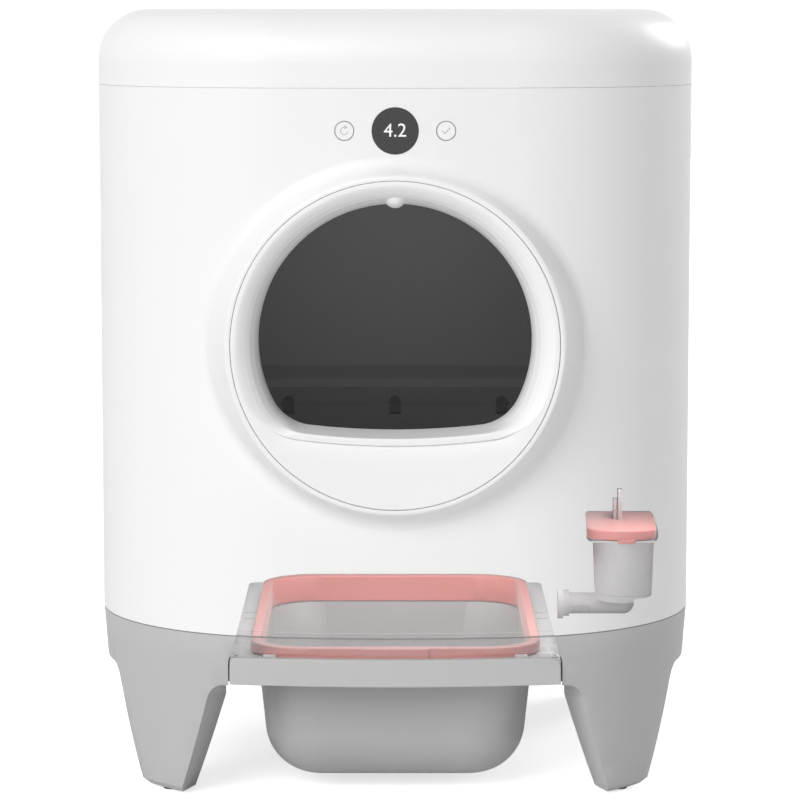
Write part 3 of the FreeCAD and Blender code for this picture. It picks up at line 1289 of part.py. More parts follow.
def duct_seal():
    """A small pink sealing ring on top of the coupling's collar."""
    x = DUCT_START_X - COLLAR_LENGTH / 3
    z = DUCT_Z + COLLAR_RADIUS + 2.4
    return Part.makeTorus(1.8, 0.6, V(x, CUP_Y, z), V(0, 1, 0))


def pump_housing():
    """The mist pump behind the cup, under the rear of the cup's lid."""
    y0 = CUP_Y + CUP_TOP_RADIUS + 4
    y1 = CUP_Y - CUP_LID_FRONT + CUP_LID_LENGTH - 4
    half = CUP_LID_WIDTH / 2 - 7
    solid = box(CUP_X - half, CUP_X + half, y0, y1, DECK_TOP_Z, CUP_TOP_Z)
    upright = [edge for edge in solid.Edges if edge.BoundBox.ZLength > 20]
    return solid.makeFillet(5, upright)


def cup_lid():
    """The pink lid over cup and pump: bowed front, catch tab and a plug that fits in the cup."""
    z0 = CUP_TOP_Z + CUP_LID_GAP
    z1 = z0 + CUP_LID_HEIGHT
    half = CUP_LID_WIDTH / 2
    front = CUP_Y - CUP_LID_FRONT
    back = front + CUP_LID_LENGTH
    edges = [
        Part.Arc(
            V(CUP_X - half, front + CUP_LID_BOW, z0), V(CUP_X, front, z0), V(CUP_X + half, front + CUP_LID_BOW, z0)
        ),
        Part.LineSegment(V(CUP_X + half, front + CUP_LID_BOW, z0), V(CUP_X + half, back, z0)),
        Part.LineSegment(V(CUP_X + half, back, z0), V(CUP_X - half, back, z0)),
        Part.LineSegment(V(CUP_X - half, back, z0), V(CUP_X - half, front + CUP_LID_BOW, z0)),
    ]
    solid = Part.Face(Part.Wire([edge.toShape() for edge in edges])).extrude(V(0, 0, z1 - z0))
    upright = [edge for edge in solid.Edges if edge.BoundBox.ZLength > CUP_LID_HEIGHT / 2]
    solid = solid.makeFillet(3, upright)
    tops = [edge for edge in solid.Edges if edge.BoundBox.ZMin > z1 - 1e-3]
    solid = solid.makeFillet(1, tops)
    tab = box(CUP_X - 7, CUP_X + 8, front + 0.4, front + 3, z0 - 3, z0 + 1)
    plug = disc_z(CUP_X, CUP_Y, CUP_TOP_RADIUS - CUP_WALL - 0.6, z0 - 3, z0 + 0.5)
    return solid.fuse([tab, plug]).removeSplitter()


def lid_post():
    """The upright pull lug on the cup's lid: a tall blade and a lower one behind it."""
    z0 = CUP_TOP_Z + CUP_LID_GAP + CUP_LID_HEIGHT
    y = CUP_Y + CUP_LID_FRONT
    tall = box(CUP_X - 3.4, CUP_X + 0.2, y - 4, y + 4, z0, z0 + POST_HEIGHT)
    crown = [e for e in tall.Edges if e.BoundBox.ZMin > z0 + POST_HEIGHT - 0.5 and e.BoundBox.XLength > 1]
    tall = tall.makeFillet(2.5, crown)
    low = box(CUP_X - 8, CUP_X - 3, y + 3, y + 20, z0, z0 + POST_LOW_HEIGHT)
    return tall.fuse(low).removeSplitter()


def power_inlet():
    """The round low-voltage socket in the back of the base."""
    face = HALF_DEPTH - skirt_inset(INLET_Z) - INLET_X**2 / (2 * front_arc_radius()) - 0.4
    back = face - WALL * 4
    solid = disc_y(INLET_X, INLET_Z, INLET_RADIUS, back, face)
    solid = solid.cut(disc_y(INLET_X, INLET_Z, INLET_RADIUS * 0.6, face - 10, face + 1))
    solid = solid.fuse(disc_y(INLET_X, INLET_Z, INLET_RADIUS * 0.2, back + 1, face - 1))
    flange = disc_y(INLET_X, INLET_Z, INLET_RADIUS + 3, back, face - WALL * 1.6)
    return solid.fuse(flange.cut(disc_y(INLET_X, INLET_Z, INLET_RADIUS * 0.6, back + 4, face))).removeSplitter()


def parts():
    moulding = skirt_moulding()
    wall = housing_wall()
    pieces = {
        "base_skirt": base_skirt(moulding),
        "drawer_bridge": drawer_bridge(moulding),
        "load_cells": load_cells(),
        "deck_plate": deck_plate(),
        "shell_screws": shell_screws(),
        "body_front": housing_half(wall, -BODY_DEPTH, 0),
        "body_back": housing_half(wall, 0, BODY_DEPTH),
        "entrance_ring": entrance_ring(),
        "sensor_dome": sensor_dome(),
        "mouth_collar": mouth_collar(),
        "display_window": display_window(),
        "control_board": control_board(),
        "button_left": button(-1),
        "button_right": button(1),
        "top_lid": top_lid(),
        "drawer_runner_left": drawer_runner(-1),
        "drawer_runner_right": drawer_runner(1),
        "drawer_panel": drawer_panel(),
        "drawer_frame": drawer_frame(),
        "bag_ring": bag_ring(),
        "waste_bin": waste_bin(),
        "drum_wall": drum_wall(),
        "drum_front": drum_front(),
        "drum_back": drum_back(),
        "drum_track_front": drum_track(FRONT_TRACK_Y),
        "drum_track_back": drum_track(REAR_TRACK_Y),
        "litter_liner": litter_liner(),
        "liner_clips": liner_clips(),
        "sieve": sieve(),
        "gear_ring": gear_ring(),
        "drive_pinion": drive_pinion(),
        "gearbox": gearbox(),
        "drive_motor": drive_motor(),
        "motor_bracket": motor_bracket(),
        "roller_axles": roller_axles(),
        "deodoriser_cup": deodoriser_cup(),
        "mist_duct": mist_duct(),
        "duct_flange": duct_flange(),
        "duct_seal": duct_seal(),
        "pump_housing": pump_housing(),
        "cup_lid": cup_lid(),
        "lid_post": lid_post(),
        "power_inlet": power_inlet(),
    }
    corners = ["back_right", "back_left", "front_left", "front_right"]
    for corner, place in zip(corners, foot_places()):
        pieces["foot_pad_" + corner] = foot_pad(place)
    for end, y in (("front", FRONT_TRACK_Y), ("back", REAR_TRACK_Y)):
        for name, side in (("left", -1), ("right", 1)):
            pieces["roller_" + end + "_" + name] = support_roller(side, y)
            pieces["roller_bracket_" + end + "_" + name] = roller_bracket(side, y)
    return pieces


os.makedirs("parts", exist_ok=True)
for name, shape in parts().items():
    shape.translate(V(0, PLAN_SHIFT, 0))
    shape.exportStep("parts/" + name + ".step")
    print(name, "solids", len(shape.Solids), "valid", shape.isValid(), "volume", round(shape.Volume))
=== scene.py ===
import bmesh
import bpy
import math
import numpy as np
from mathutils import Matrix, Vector


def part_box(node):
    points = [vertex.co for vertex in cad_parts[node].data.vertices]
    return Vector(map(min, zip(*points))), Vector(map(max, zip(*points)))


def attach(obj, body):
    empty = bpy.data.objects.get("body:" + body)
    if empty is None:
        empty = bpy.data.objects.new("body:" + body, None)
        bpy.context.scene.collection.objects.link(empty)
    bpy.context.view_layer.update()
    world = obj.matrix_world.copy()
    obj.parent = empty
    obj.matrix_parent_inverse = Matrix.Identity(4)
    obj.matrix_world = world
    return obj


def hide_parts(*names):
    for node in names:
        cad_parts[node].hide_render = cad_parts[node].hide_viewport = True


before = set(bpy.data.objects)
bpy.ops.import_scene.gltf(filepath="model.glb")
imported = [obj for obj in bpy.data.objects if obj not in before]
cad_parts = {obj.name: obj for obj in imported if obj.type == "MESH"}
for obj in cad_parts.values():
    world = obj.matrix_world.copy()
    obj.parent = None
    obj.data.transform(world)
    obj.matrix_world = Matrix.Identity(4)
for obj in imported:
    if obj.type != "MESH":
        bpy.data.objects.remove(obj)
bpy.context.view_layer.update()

# Self-cleaning litter box.  Sizes are in millimetres about the middle of the housing's plan outline;
# PLAN_SHIFT moves them to the frame's origin and MM turns them into metres.
MM = 0.001
PLAN_SHIFT = 8.0

# Points nearer than this, in metres, are one point
SAME_POINT = 5e-7

# Mouldings: the grain's size in metres, the tone's drifts in a metre, and how uneven the gloss is
GRAIN_SIZE = 0.0007
DRIFT_SCALE = 9.0
UNEVEN_GLOSS = 0.04

# Housing front, as in the solids
FRONT_Y = -258.0
FRONT_RADIUS = 709.4
BASE_SEAM_Z = 140.0
SKIRT_SLOPE = math.tan(math.radians(4.3))

# The seam over the base: the height of the shade painted under it, that painted shade's darkness, and the
# gap to the level where both parts meet
PAINTED_SHADE_HEIGHT = 1.0
PAINTED_SHADE_DARKNESS = 0.6
SEAM_GAP = 0.05

# Entrance: the round frame, the wide and the narrow outline of the funnel, its sleeve and its sill's lip
FACE_Y = -266.0
ENTRANCE_Z = 376.0
ENTRANCE_RADIUS = 130.0
FUNNEL_OUTLINE = {"radius": 126.5, "centre_z": 376.0, "bottom_z": 297.0, "corner": 52.0}
OPENING_OUTLINE = {"radius": 109.0, "centre_z": 378.0, "bottom_z": 305.4, "corner": 38.0}
SILL_RADIUS = 600.0
FUNNEL_WALL = 2.5
FACE_ROUND = 1.4
SLEEVE_END = 42.0
LIP_REACH = 84.0
LIP_FADE = 24.0
LIP_RISE = 2.2
LIP_RUN = 16.0

# The funnel's two courses from the wide outline (0) to the narrow one (1): step, share, depth
TRUMPET = [
    (0, 0, 0), (0.1, 0.12, 0.8), (0.2, 0.23, 1.9), (0.35, 0.44, 4.5), (0.5, 0.645, 8.0),
    (0.65, 0.86, 14.2), (0.75, 0.96, 20.0), (0.82, 1.0, 24.0), (0.9, 1.0, 33.0), (1.0, 1.0, SLEEVE_END),
]
SILL_LIP = [
    (0, 0, LIP_RISE), (0.06, 0.03, 0.7), (0.1, 0.07, 0.1), (0.3, 0.35, 0.0), (0.45, 0.60, 0.05),
    (0.5, 0.67, 0.35), (0.54, 0.70, 0.8), (0.58, 0.72, 1.8), (0.7, 0.80, 10.0), (0.85, 0.92, 26.0),
    (1.0, 1.0, SLEEVE_END),
]

# Sensor dome, display and keys
DOME_Z = 493.0
DOME_RADIUS = 9.0
DOME_DEPTH = 17.0
DOME_LENGTH = 9.5
CONTROL_Z = 544.7
BUTTON_X = 40.0
BUTTON_RADIUS = 7.6
PRINT_HEIGHT = 0.1
NUMERAL_SIZE = 15.0
NUMERAL_THICKNESS = 0.08

# Drawer, ring and deodoriser, for the part of the front that shows them
FRAME_HALF = 134.0
FRAME_BACK = 157.0
FRAME_TOP = 116.0
FRAME_CORNER = 8.0
RING_HALF = 119.0
RING_BACK = 147.0
RING_TOP = 125.6
RING_CORNER = 48.0
PANEL_FACE_TOP = 121.8
PANEL_CORNER = 8.5
CUP_AXIS_Y = -98.0
CUP_X = 192.2
COVER_X = 191.15
COVER_WIDTH = 59.1
COVER_BOW = 10.0
COVER_TURN = -2.3
COVER_TOP = 208.1
COVER_HEIGHT = 8.1

# The see-through part ends this far back, and for the deodoriser just above the seam
ZONE_BACK = -130.0
UNIT_ZONE_LOW = 140.5

# The deodoriser's parts as flat shapes across the cup's axis.  The cover leans and narrows above its
# front edge, the cup widens to its rim.  Ovals: middle x, middle z, half width and half height.
# Boxes: x from and to, z from and to.
COVER_ZONE = {
    "x": 191.3, "z": 207.55, "half_width": 30.2, "half_height": 12.95, "corner": 4.0,
    "edge_z": 202.7, "lean": 0.197, "narrowing": 0.098,
}
CUP_ZONE = {"half_width": 25.9, "rim_z": 198.0, "taper": 0.04, "low_z": 154.5, "high_z": 193.7}
UNIT_OVALS = {
    "cup_foot": (CUP_X, 154.5, 24.1, 4.2),
    "seat": (CUP_X, 149.0, 23.9, 4.2),
    "elbow": (192.2, 142.2, 9.2, 9.2),
}
UNIT_BOXES = {
    "seat": (168.3, 216.1, 149.0, 154.6),
    "duct": (146.5, 192.2, 133.1, 151.2),
    "elbow_top": (182.9, 201.4, 142.2, 147.0),
    "flange_neck": (141.7, 146.8, 131.1, 153.3),
    "flange": (136.8, 141.8, 128.9, 155.5),
    "catch_tab": (187.6, 202.7, 191.2, 195.0),
    "pull_blade": (186.6, 190.8, 220.0, 240.0),
    "pull_step": (182.9, 186.8, 220.0, 232.0),
}

# Camera: place, tilt in degrees, lens over a sensor 36 wide, and the picture's shift
CAMERA_Y = -2881.0
CAMERA_Z = 636.0
CAMERA_TILT = 6.59
CAMERA_LENS = 150.4
CAMERA_SHIFT = 0.006

# Light.  Far ones: azimuth, elevation, spread in degrees and strength.  Ones that light a hollow:
# place and target in metres, width, height and power in watts.
FAR_LIGHTS = {
    "key": (-33, 32, 40, 2.0),
    "rim": (140, 20, 20, 1.1),
}
HOLLOW_LIGHTS = {
    "drawer_light": ((0, -0.02, 0.186), (0, -0.02, 0.0), 0.29, 0.36, 0.5),
    "unit_light": ((0.160, -0.160, 0.185), (0.188, -0.098, 0.165), 0.05, 0.10, 0.019),
    "cover_light": ((0.203, -0.125, 0.285), (0.19, -0.08, 0.2), 0.05, 0.05, 0.12),
    "drum_light": ((0, -0.18, 0.47), (0, 0.19, 0.38), 0.2, 0.05, 0.5),
}
AMBIENT = 0.40
BACKGROUND = 1.05

# Floor: half its width in metres, and its glow as (distance from the middle, strength)
FLOOR_REACH = 12.0
FLOOR_GLOW = {"near": (0.3, 0.68), "far": (1.1, 0.8)}


def made_object(name, body, mesh, material):
    piece = bpy.data.objects.new(name, mesh)
    bpy.context.scene.collection.objects.link(piece)
    mesh.materials.clear()
    mesh.materials.append(material)
    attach(piece, body)
    return piece


def new_material(name):
    material = bpy.data.materials.new(name)
    material.use_nodes = True
    tree = material.node_tree
    shader = next(n for n in tree.nodes if n.type == "BSDF_PRINCIPLED")
    return material, tree, shader


def node(tree, kind, **values):
    made = tree.nodes.new(kind)
    for key, value in values.items():
        setattr(made, key, value)
    return made


def moulded(name, colour, roughness, grain=0.02, tint=0.03):
    """Moulded plastic: a fine leather-like grain, a slow drift of tone and slightly uneven gloss."""
    material, tree, shader = new_material(name)
    place = node(tree, "ShaderNodeTexCoord")
    drift = node(tree, "ShaderNodeTexNoise")
    drift.inputs["Scale"].default_value = DRIFT_SCALE
    drift.inputs["Detail"].default_value = 3.0
    tree.links.new(place.outputs["Object"], drift.inputs["Vector"])
    ramp = node(tree, "ShaderNodeMapRange")
    ramp.inputs["To Min"].default_value = 1 - tint
    ramp.inputs["To Max"].default_value = 1 + tint
    tree.links.new(drift.outputs["Fac"], ramp.inputs["Value"])
    shade = node(tree, "ShaderNodeVectorMath", operation="SCALE")
    shade.inputs[0].default_value = colour
    tree.links.new(ramp.outputs["Result"], shade.inputs["Scale"])
    tree.links.new(shade.outputs["Vector"], shader.inputs["Base Color"])
    gloss = node(tree, "ShaderNodeMapRange")
    gloss.inputs["To Min"].default_value = roughness - UNEVEN_GLOSS
    gloss.inputs["To Max"].default_value = roughness + UNEVEN_GLOSS
    fine = node(tree, "ShaderNodeTexNoise")
    fine.inputs["Scale"].default_value = 1 / GRAIN_SIZE / 4
    fine.inputs["Detail"].default_value = 2.0
    tree.links.new(place.outputs["Object"], fine.inputs["Vector"])
    tree.links.new(fine.outputs["Fac"], gloss.inputs["Value"])
    tree.links.new(gloss.outputs["Result"], shader.inputs["Roughness"])
    bump = node(tree, "ShaderNodeBump")
    bump.inputs["Strength"].default_value = grain
    bump.inputs["Distance"].default_value = GRAIN_SIZE
    tree.links.new(fine.outputs["Fac"], bump.inputs["Height"])
    tree.links.new(bump.outputs["Normal"], shader.inputs["Normal"])
    return material


class Sums:
    """Arithmetic nodes for one material, written as short calls."""

    def __init__(self, tree):
        self.tree = tree

    def put(self, value, socket):
        if isinstance(value, (int, float)):
            socket.default_value = value
        else:
            self.tree.links.new(value, socket)

    def do(self, operation, a, b=0.0):
        made = node(self.tree, "ShaderNodeMath", operation=operation)
        self.put(a, made.inputs[0])
        self.put(b, made.inputs[1])
        return made.outputs[0]

    def between(self, value, low, high):
        return self.do("MULTIPLY", self.do("GREATER_THAN", value, low), self.do("LESS_THAN", value, high))

    def inside_box(self, u, v, box):
        return self.do("MULTIPLY", self.between(u, box[0], box[1]), self.between(v, box[2], box[3]))

    def inside_oval(self, u, v, centre_u, centre_v, across, up):
        du = self.do("DIVIDE", self.do("SUBTRACT", u, centre_u), across)
        dv = self.do("DIVIDE", self.do("SUBTRACT", v, centre_v), up)
        square = self.do("ADD", self.do("MULTIPLY", du, du), self.do("MULTIPLY", dv, dv))
        return self.do("LESS_THAN", square, 1.0)

    def within_rounded(self, off_u, off_v, half_u, half_v, corner):
        """Inside a box with rounded corners, from the distances off its two middle lines."""
        over_u = self.do("MAXIMUM", self.do("SUBTRACT", off_u, half_u - corner), 0.0)
        over_v = self.do("MAXIMUM", self.do("SUBTRACT", off_v, half_v - corner), 0.0)
        square = self.do("ADD", self.do("MULTIPLY", over_u, over_u), self.do("MULTIPLY", over_v, over_v))
        return self.do("LESS_THAN", square, corner * corner)

    def either(self, parts):
        total = parts[0]
        for part in parts[1:]:
            total = self.do("MAXIMUM", total, part)
        return total


def flat_zone(sums, place, level, half, back, corner):
    """Where the line of sight to the wall goes on to a rounded rectangle at one level in the bay.

    A point on the wall is carried along the line from the eye to the level: both its X and its
    distance from the eye grow by the same factor, eye height over level divided by eye height over point.
    """
    drop = sums.do("SUBTRACT", CAMERA_Z * MM, place.outputs["Z"])
    factor = sums.do("DIVIDE", (CAMERA_Z - level) * MM, drop)
    across = sums.do("ABSOLUTE", sums.do("MULTIPLY", place.outputs["X"], factor))
    away = sums.do("MULTIPLY", sums.do("SUBTRACT", place.outputs["Y"], CAMERA_Y * MM), factor)
    over_x = sums.do("MAXIMUM", sums.do("SUBTRACT", across, (half - corner) * MM), 0.0)
    over_y = sums.do("MAXIMUM", sums.do("SUBTRACT", away, (back - corner - CAMERA_Y) * MM), 0.0)
    square = sums.do("ADD", sums.do("MULTIPLY", over_x, over_x), sums.do("MULTIPLY", over_y, over_y))
    return sums.do("LESS_THAN", square, (corner * MM) ** 2)


def unit_zone(sums, place):
    """Where the line of sight goes on to the deodoriser, drawn as flat shapes across its axis."""
    ahead = sums.do("SUBTRACT", place.outputs["Y"], CAMERA_Y * MM)
    factor = sums.do("DIVIDE", (CUP_AXIS_Y - CAMERA_Y) * MM, ahead)
    u = sums.do("MULTIPLY", place.outputs["X"], factor)
    rise = sums.do("MULTIPLY", sums.do("SUBTRACT", place.outputs["Z"], CAMERA_Z * MM), factor)
    v = sums.do("ADD", rise, CAMERA_Z * MM)
    above = sums.do("MAXIMUM", sums.do("SUBTRACT", v, COVER_ZONE["edge_z"] * MM), 0.0)
    middle = sums.do("ADD", sums.do("SUBTRACT", u, COVER_ZONE["x"] * MM),
                     sums.do("MULTIPLY", above, COVER_ZONE["lean"]))
    off_u = sums.do("ADD", sums.do("ABSOLUTE", middle), sums.do("MULTIPLY", above, COVER_ZONE["narrowing"]))
    off_v = sums.do("ABSOLUTE", sums.do("SUBTRACT", v, COVER_ZONE["z"] * MM))
    cover = sums.within_rounded(off_u, off_v, COVER_ZONE["half_width"] * MM, COVER_ZONE["half_height"] * MM,
                                COVER_ZONE["corner"] * MM)
    taper = sums.do("MULTIPLY", sums.do("SUBTRACT", v, CUP_ZONE["rim_z"] * MM), CUP_ZONE["taper"])
    cup_u = sums.do("SUBTRACT", sums.do("ABSOLUTE", sums.do("SUBTRACT", u, CUP_X * MM)), taper)
    beside = sums.do("LESS_THAN", cup_u, CUP_ZONE["half_width"] * MM)
    return sums.either([
        cover,
        sums.do("MULTIPLY", beside, sums.between(v, CUP_ZONE["low_z"] * MM, CUP_ZONE["high_z"] * MM)),
        *[sums.inside_oval(u, v, *(value * MM for value in oval)) for oval in UNIT_OVALS.values()],
        *[sums.inside_box(u, v, [value * MM for value in box]) for box in UNIT_BOXES.values()],
    ])


def see_through(material, tint, seam_tint):
    """Lets the drawer and the deodoriser show through the front wall, as the picture draws them."""
    tree = material.node_tree
    shader = next(n for n in tree.nodes if n.type == "BSDF_PRINCIPLED")
    sums = Sums(tree)
    coordinates = node(tree, "ShaderNodeTexCoord")
    place = node(tree, "ShaderNodeSeparateXYZ")
    tree.links.new(coordinates.outputs["Object"], place.inputs["Vector"])
    drawer = sums.do("MAXIMUM",
                     flat_zone(sums, place, FRAME_TOP, FRAME_HALF, FRAME_BACK, FRAME_CORNER),
                     flat_zone(sums, place, RING_TOP, RING_HALF, RING_BACK, RING_CORNER))
    drawer = sums.do("MULTIPLY", drawer, sums.do("GREATER_THAN", place.outputs["Z"], PANEL_FACE_TOP * MM))
    unit_low = UNIT_ZONE_LOW * MM
    unit = sums.do("MULTIPLY", unit_zone(sums, place), sums.do("GREATER_THAN", place.outputs["Z"], unit_low))
    clear = sums.do("MAXIMUM", drawer, unit)
    clear = sums.do("MULTIPLY", clear, sums.do("LESS_THAN", place.outputs["Y"], ZONE_BACK * MM))
    seam_low, seam_high = (BASE_SEAM_Z - PAINTED_SHADE_HEIGHT) * MM, (BASE_SEAM_Z - SEAM_GAP) * MM
    # The band of painted seam shade is made more opaque in the see-through part, so that it still shows
    # there.
    near_seam = sums.between(place.outputs["Z"], seam_low, seam_high)
    cover = sums.do("ADD", tint, sums.do("MULTIPLY", near_seam, seam_tint))
    solid = sums.do("SUBTRACT", 1.0, clear)
    alpha = sums.do("ADD", solid, sums.do("MULTIPLY", clear, cover))
    tree.links.new(alpha, shader.inputs["Alpha"])
    return material


def brushed(name, colour, roughness):
    """Bare metal with fine lines along its length."""
    material, tree, shader = new_material(name)
    place = node(tree, "ShaderNodeTexCoord")
    stretch = node(tree, "ShaderNodeMapping")
    stretch.inputs["Scale"].default_value = (300.0, 12.0, 300.0)
    tree.links.new(place.outputs["Object"], stretch.inputs["Vector"])
    lines = node(tree, "ShaderNodeTexNoise")
    lines.inputs["Scale"].default_value = 6.0
    tree.links.new(stretch.outputs["Vector"], lines.inputs["Vector"])
    gloss = node(tree, "ShaderNodeMapRange")
    gloss.inputs["To Min"].default_value = roughness - 0.08
    gloss.inputs["To Max"].default_value = roughness + 0.1
    tree.links.new(lines.outputs["Fac"], gloss.inputs["Value"])
    tree.links.new(gloss.outputs["Result"], shader.inputs["Roughness"])
    shader.inputs["Base Color"].default_value = (*colour, 1)
    shader.inputs["Metallic"].default_value = 1.0
    return material


def painted_seam_shade(material):
    """Paints shade on the base's topmost edge: a darker band under the seam with the housing, where shade
    falls.
    """
    tree = material.node_tree
    shader = next(n for n in tree.nodes if n.type == "BSDF_PRINCIPLED")
    sums = Sums(tree)
    coordinates = node(tree, "ShaderNodeTexCoord")
    place = node(tree, "ShaderNodeSeparateXYZ")
    tree.links.new(coordinates.outputs["Object"], place.inputs["Vector"])
    # Painted shade: the base colour is darkened in a thin band just under the seam's level.
    edge = sums.between(place.outputs["Z"], (BASE_SEAM_Z - PAINTED_SHADE_HEIGHT) * MM, (BASE_SEAM_Z + 1) * MM)
    keep = sums.do("SUBTRACT", 1.0, sums.do("MULTIPLY", edge, PAINTED_SHADE_DARKNESS))
    shaded = node(tree, "ShaderNodeVectorMath", operation="SCALE")
    tree.links.new(shader.inputs["Base Color"].links[0].from_socket, shaded.inputs[0])
    tree.links.new(keep, shaded.inputs["Scale"])
    tree.links.new(shaded.outputs["Vector"], shader.inputs["Base Color"])
    return material


def sheened(material, weight):
    """Adds the pale sheen that satin plastic has where it is seen along its surface."""
    shader = next(n for n in material.node_tree.nodes if n.type == "BSDF_PRINCIPLED")
    shader.inputs["Sheen Weight"].default_value = weight
    shader.inputs["Sheen Roughness"].default_value = 0.35
    return material


SHELL_WHITE = (0.85, 0.85, 0.85)
BASE_GREY = (0.47, 0.47, 0.47)


def finishes():
    """One finish for each moulding or metal of the object."""
    base = moulded("base_grey", BASE_GREY, 0.5, grain=0.05, tint=0.02)
    cover = moulded("cover_pink", (0.82, 0.27, 0.245), 0.4, grain=0.01)
    return {
        "shell": moulded("shell_white", SHELL_WHITE, 0.42, grain=0.01, tint=0.006),
        "front": see_through(moulded("front_white", SHELL_WHITE, 0.42, grain=0.01, tint=0.006), 0.10, 0.0),
        # The base's finish carries the painted shade along its seam.
        "base": see_through(painted_seam_shade(base), 0.22, 0.40),
        "bracket": see_through(moulded("bracket_grey", (0.08, 0.08, 0.085), 0.5, grain=0.05), 0.0, 0.0),
        "panel": moulded("panel_grey", (0.50, 0.50, 0.50), 0.45, grain=0.05),
        "bin": moulded("bin_grey", (0.43, 0.43, 0.43), 0.35, grain=0.02),
        "ring": sheened(moulded("ring_pink", (0.80, 0.235, 0.205), 0.35, grain=0.02), 0.5),
        "drum": moulded("drum_charcoal", (0.13, 0.13, 0.132), 0.6, grain=0.1),
        "liner": moulded("liner_charcoal", (0.095, 0.095, 0.097), 0.6, grain=0.1),
        "clip": moulded("clip_charcoal", (0.05, 0.05, 0.05), 0.6, grain=0.05),
        "glass": moulded("display_black", (0.038, 0.038, 0.040), 0.28, grain=0.0),
        "cover": sheened(cover, 0.9),
        "post": moulded("post_grey", (0.42, 0.42, 0.43), 0.3, grain=0.0),
        "unit": moulded("unit_grey", (0.62, 0.62, 0.63), 0.4, grain=0.02),
        "frame": moulded("frame_grey", (0.80, 0.80, 0.81), 0.4, grain=0.02),
        "works": moulded("works_grey", (0.08, 0.08, 0.085), 0.5, grain=0.05),
        "roller": moulded("roller_white", (0.6, 0.6, 0.58), 0.3, grain=0.02),
        "rubber": moulded("pad_rubber", (0.02, 0.02, 0.02), 0.8, grain=0.2),
        "board": moulded("board_green", (0.02, 0.12, 0.05), 0.4, grain=0.05),
        "print": moulded("print_grey", (0.42, 0.42, 0.42), 0.5, grain=0.0),
        "digits": moulded("digit_white", (0.95, 0.95, 0.95), 0.4, grain=0.0),
        "steel": brushed("plated_steel", (0.55, 0.55, 0.56), 0.3),
    }


FINISH_NODES = {
    "base": ("base_skirt", "drawer_bridge", "deck_plate"),
    "front": ("body_front",),
    "shell": ("body_back", "entrance_ring", "sensor_dome", "button_left", "button_right", "top_lid"),
    "glass": ("display_window",),
    "board": ("control_board",),
    "panel": ("drawer_panel",),
    "frame": ("drawer_frame",),
    "ring": ("bag_ring", "duct_seal", "cup_lid"),
    "bin": ("waste_bin",),
    "drum": ("drum_wall", "drum_front", "drum_back", "drum_track_front", "drum_track_back", "sieve",
             "mouth_collar"),
    "liner": ("litter_liner",),
    "clip": ("liner_clips",),
    "unit": ("deodoriser_cup", "mist_duct", "duct_flange", "pump_housing", "lid_post"),
    "bracket": ("roller_bracket_front_right",),
    "works": ("gear_ring", "gearbox", "drawer_runner_left", "drawer_runner_right", "power_inlet"),
    "roller": ("drive_pinion",),
    "steel": ("load_cells", "shell_screws", "drive_motor", "motor_bracket", "roller_axles"),
}
NAME_STARTS = {"foot_pad": "rubber", "roller_bracket": "works", "roller_": "roller"}


def finish_of(name):
    """The finish that lists a node, or the one for the start of its name."""
    for finish, names in FINISH_NODES.items():
        if name in names:
            return finish
    return next(finish for start, finish in NAME_STARTS.items() if name.startswith(start))


def dress_nodes(looks):
    for name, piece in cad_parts.items():
        for slot in piece.material_slots:
            slot.material = looks[finish_of(name)]


def soften_edges(name, width, segments=2, angle=35.0):
    """Rounds a moulding's sharp edges, as a mould leaves them."""
    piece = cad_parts[name]
    weld = piece.modifiers.new("weld", "WELD")
    weld.merge_threshold = 0.00002
    bevel = piece.modifiers.new("edge", "BEVEL")
    bevel.width = width * MM
    bevel.segments = segments
    bevel.limit_method = "ANGLE"
    bevel.angle_limit = math.radians(angle)
    bevel.harden_normals = True


def front_y(x):
    """The housing's front in the frame's metres: an arc of FRONT_RADIUS about the middle."""
    return (FRONT_Y + PLAN_SHIFT + x * x / (2 * FRONT_RADIUS)) * MM


def grid_mesh(name, points, around=False):
    """A mesh over a grid of points, rows by columns, with the last column joined to the first if around.

    Points that fall together are joined, which closes the ends, and the faces are turned outward.
    """
    rows, columns = points.shape[:2]
    count = columns if around else columns - 1
    row, column = np.meshgrid(np.arange(rows - 1), np.arange(count), indexing="ij")
    following = (column + 1) % columns
    corners = (row * columns + column, row * columns + following,
               (row + 1) * columns + following, (row + 1) * columns + column)
    faces = np.stack([c.ravel() for c in corners], axis=1)
    mesh = bpy.data.meshes.new(name)
    mesh.from_pydata(points.reshape(-1, 3).tolist(), [], faces.tolist())
    mesh.validate()
    joined = bmesh.new()
    joined.from_mesh(mesh)
    bmesh.ops.remove_doubles(joined, verts=joined.verts, dist=SAME_POINT)
    bmesh.ops.recalc_face_normals(joined, faces=joined.faces)
    joined.to_mesh(mesh)
    joined.free()
    for polygon in mesh.polygons:
        polygon.use_smooth = True
    return mesh


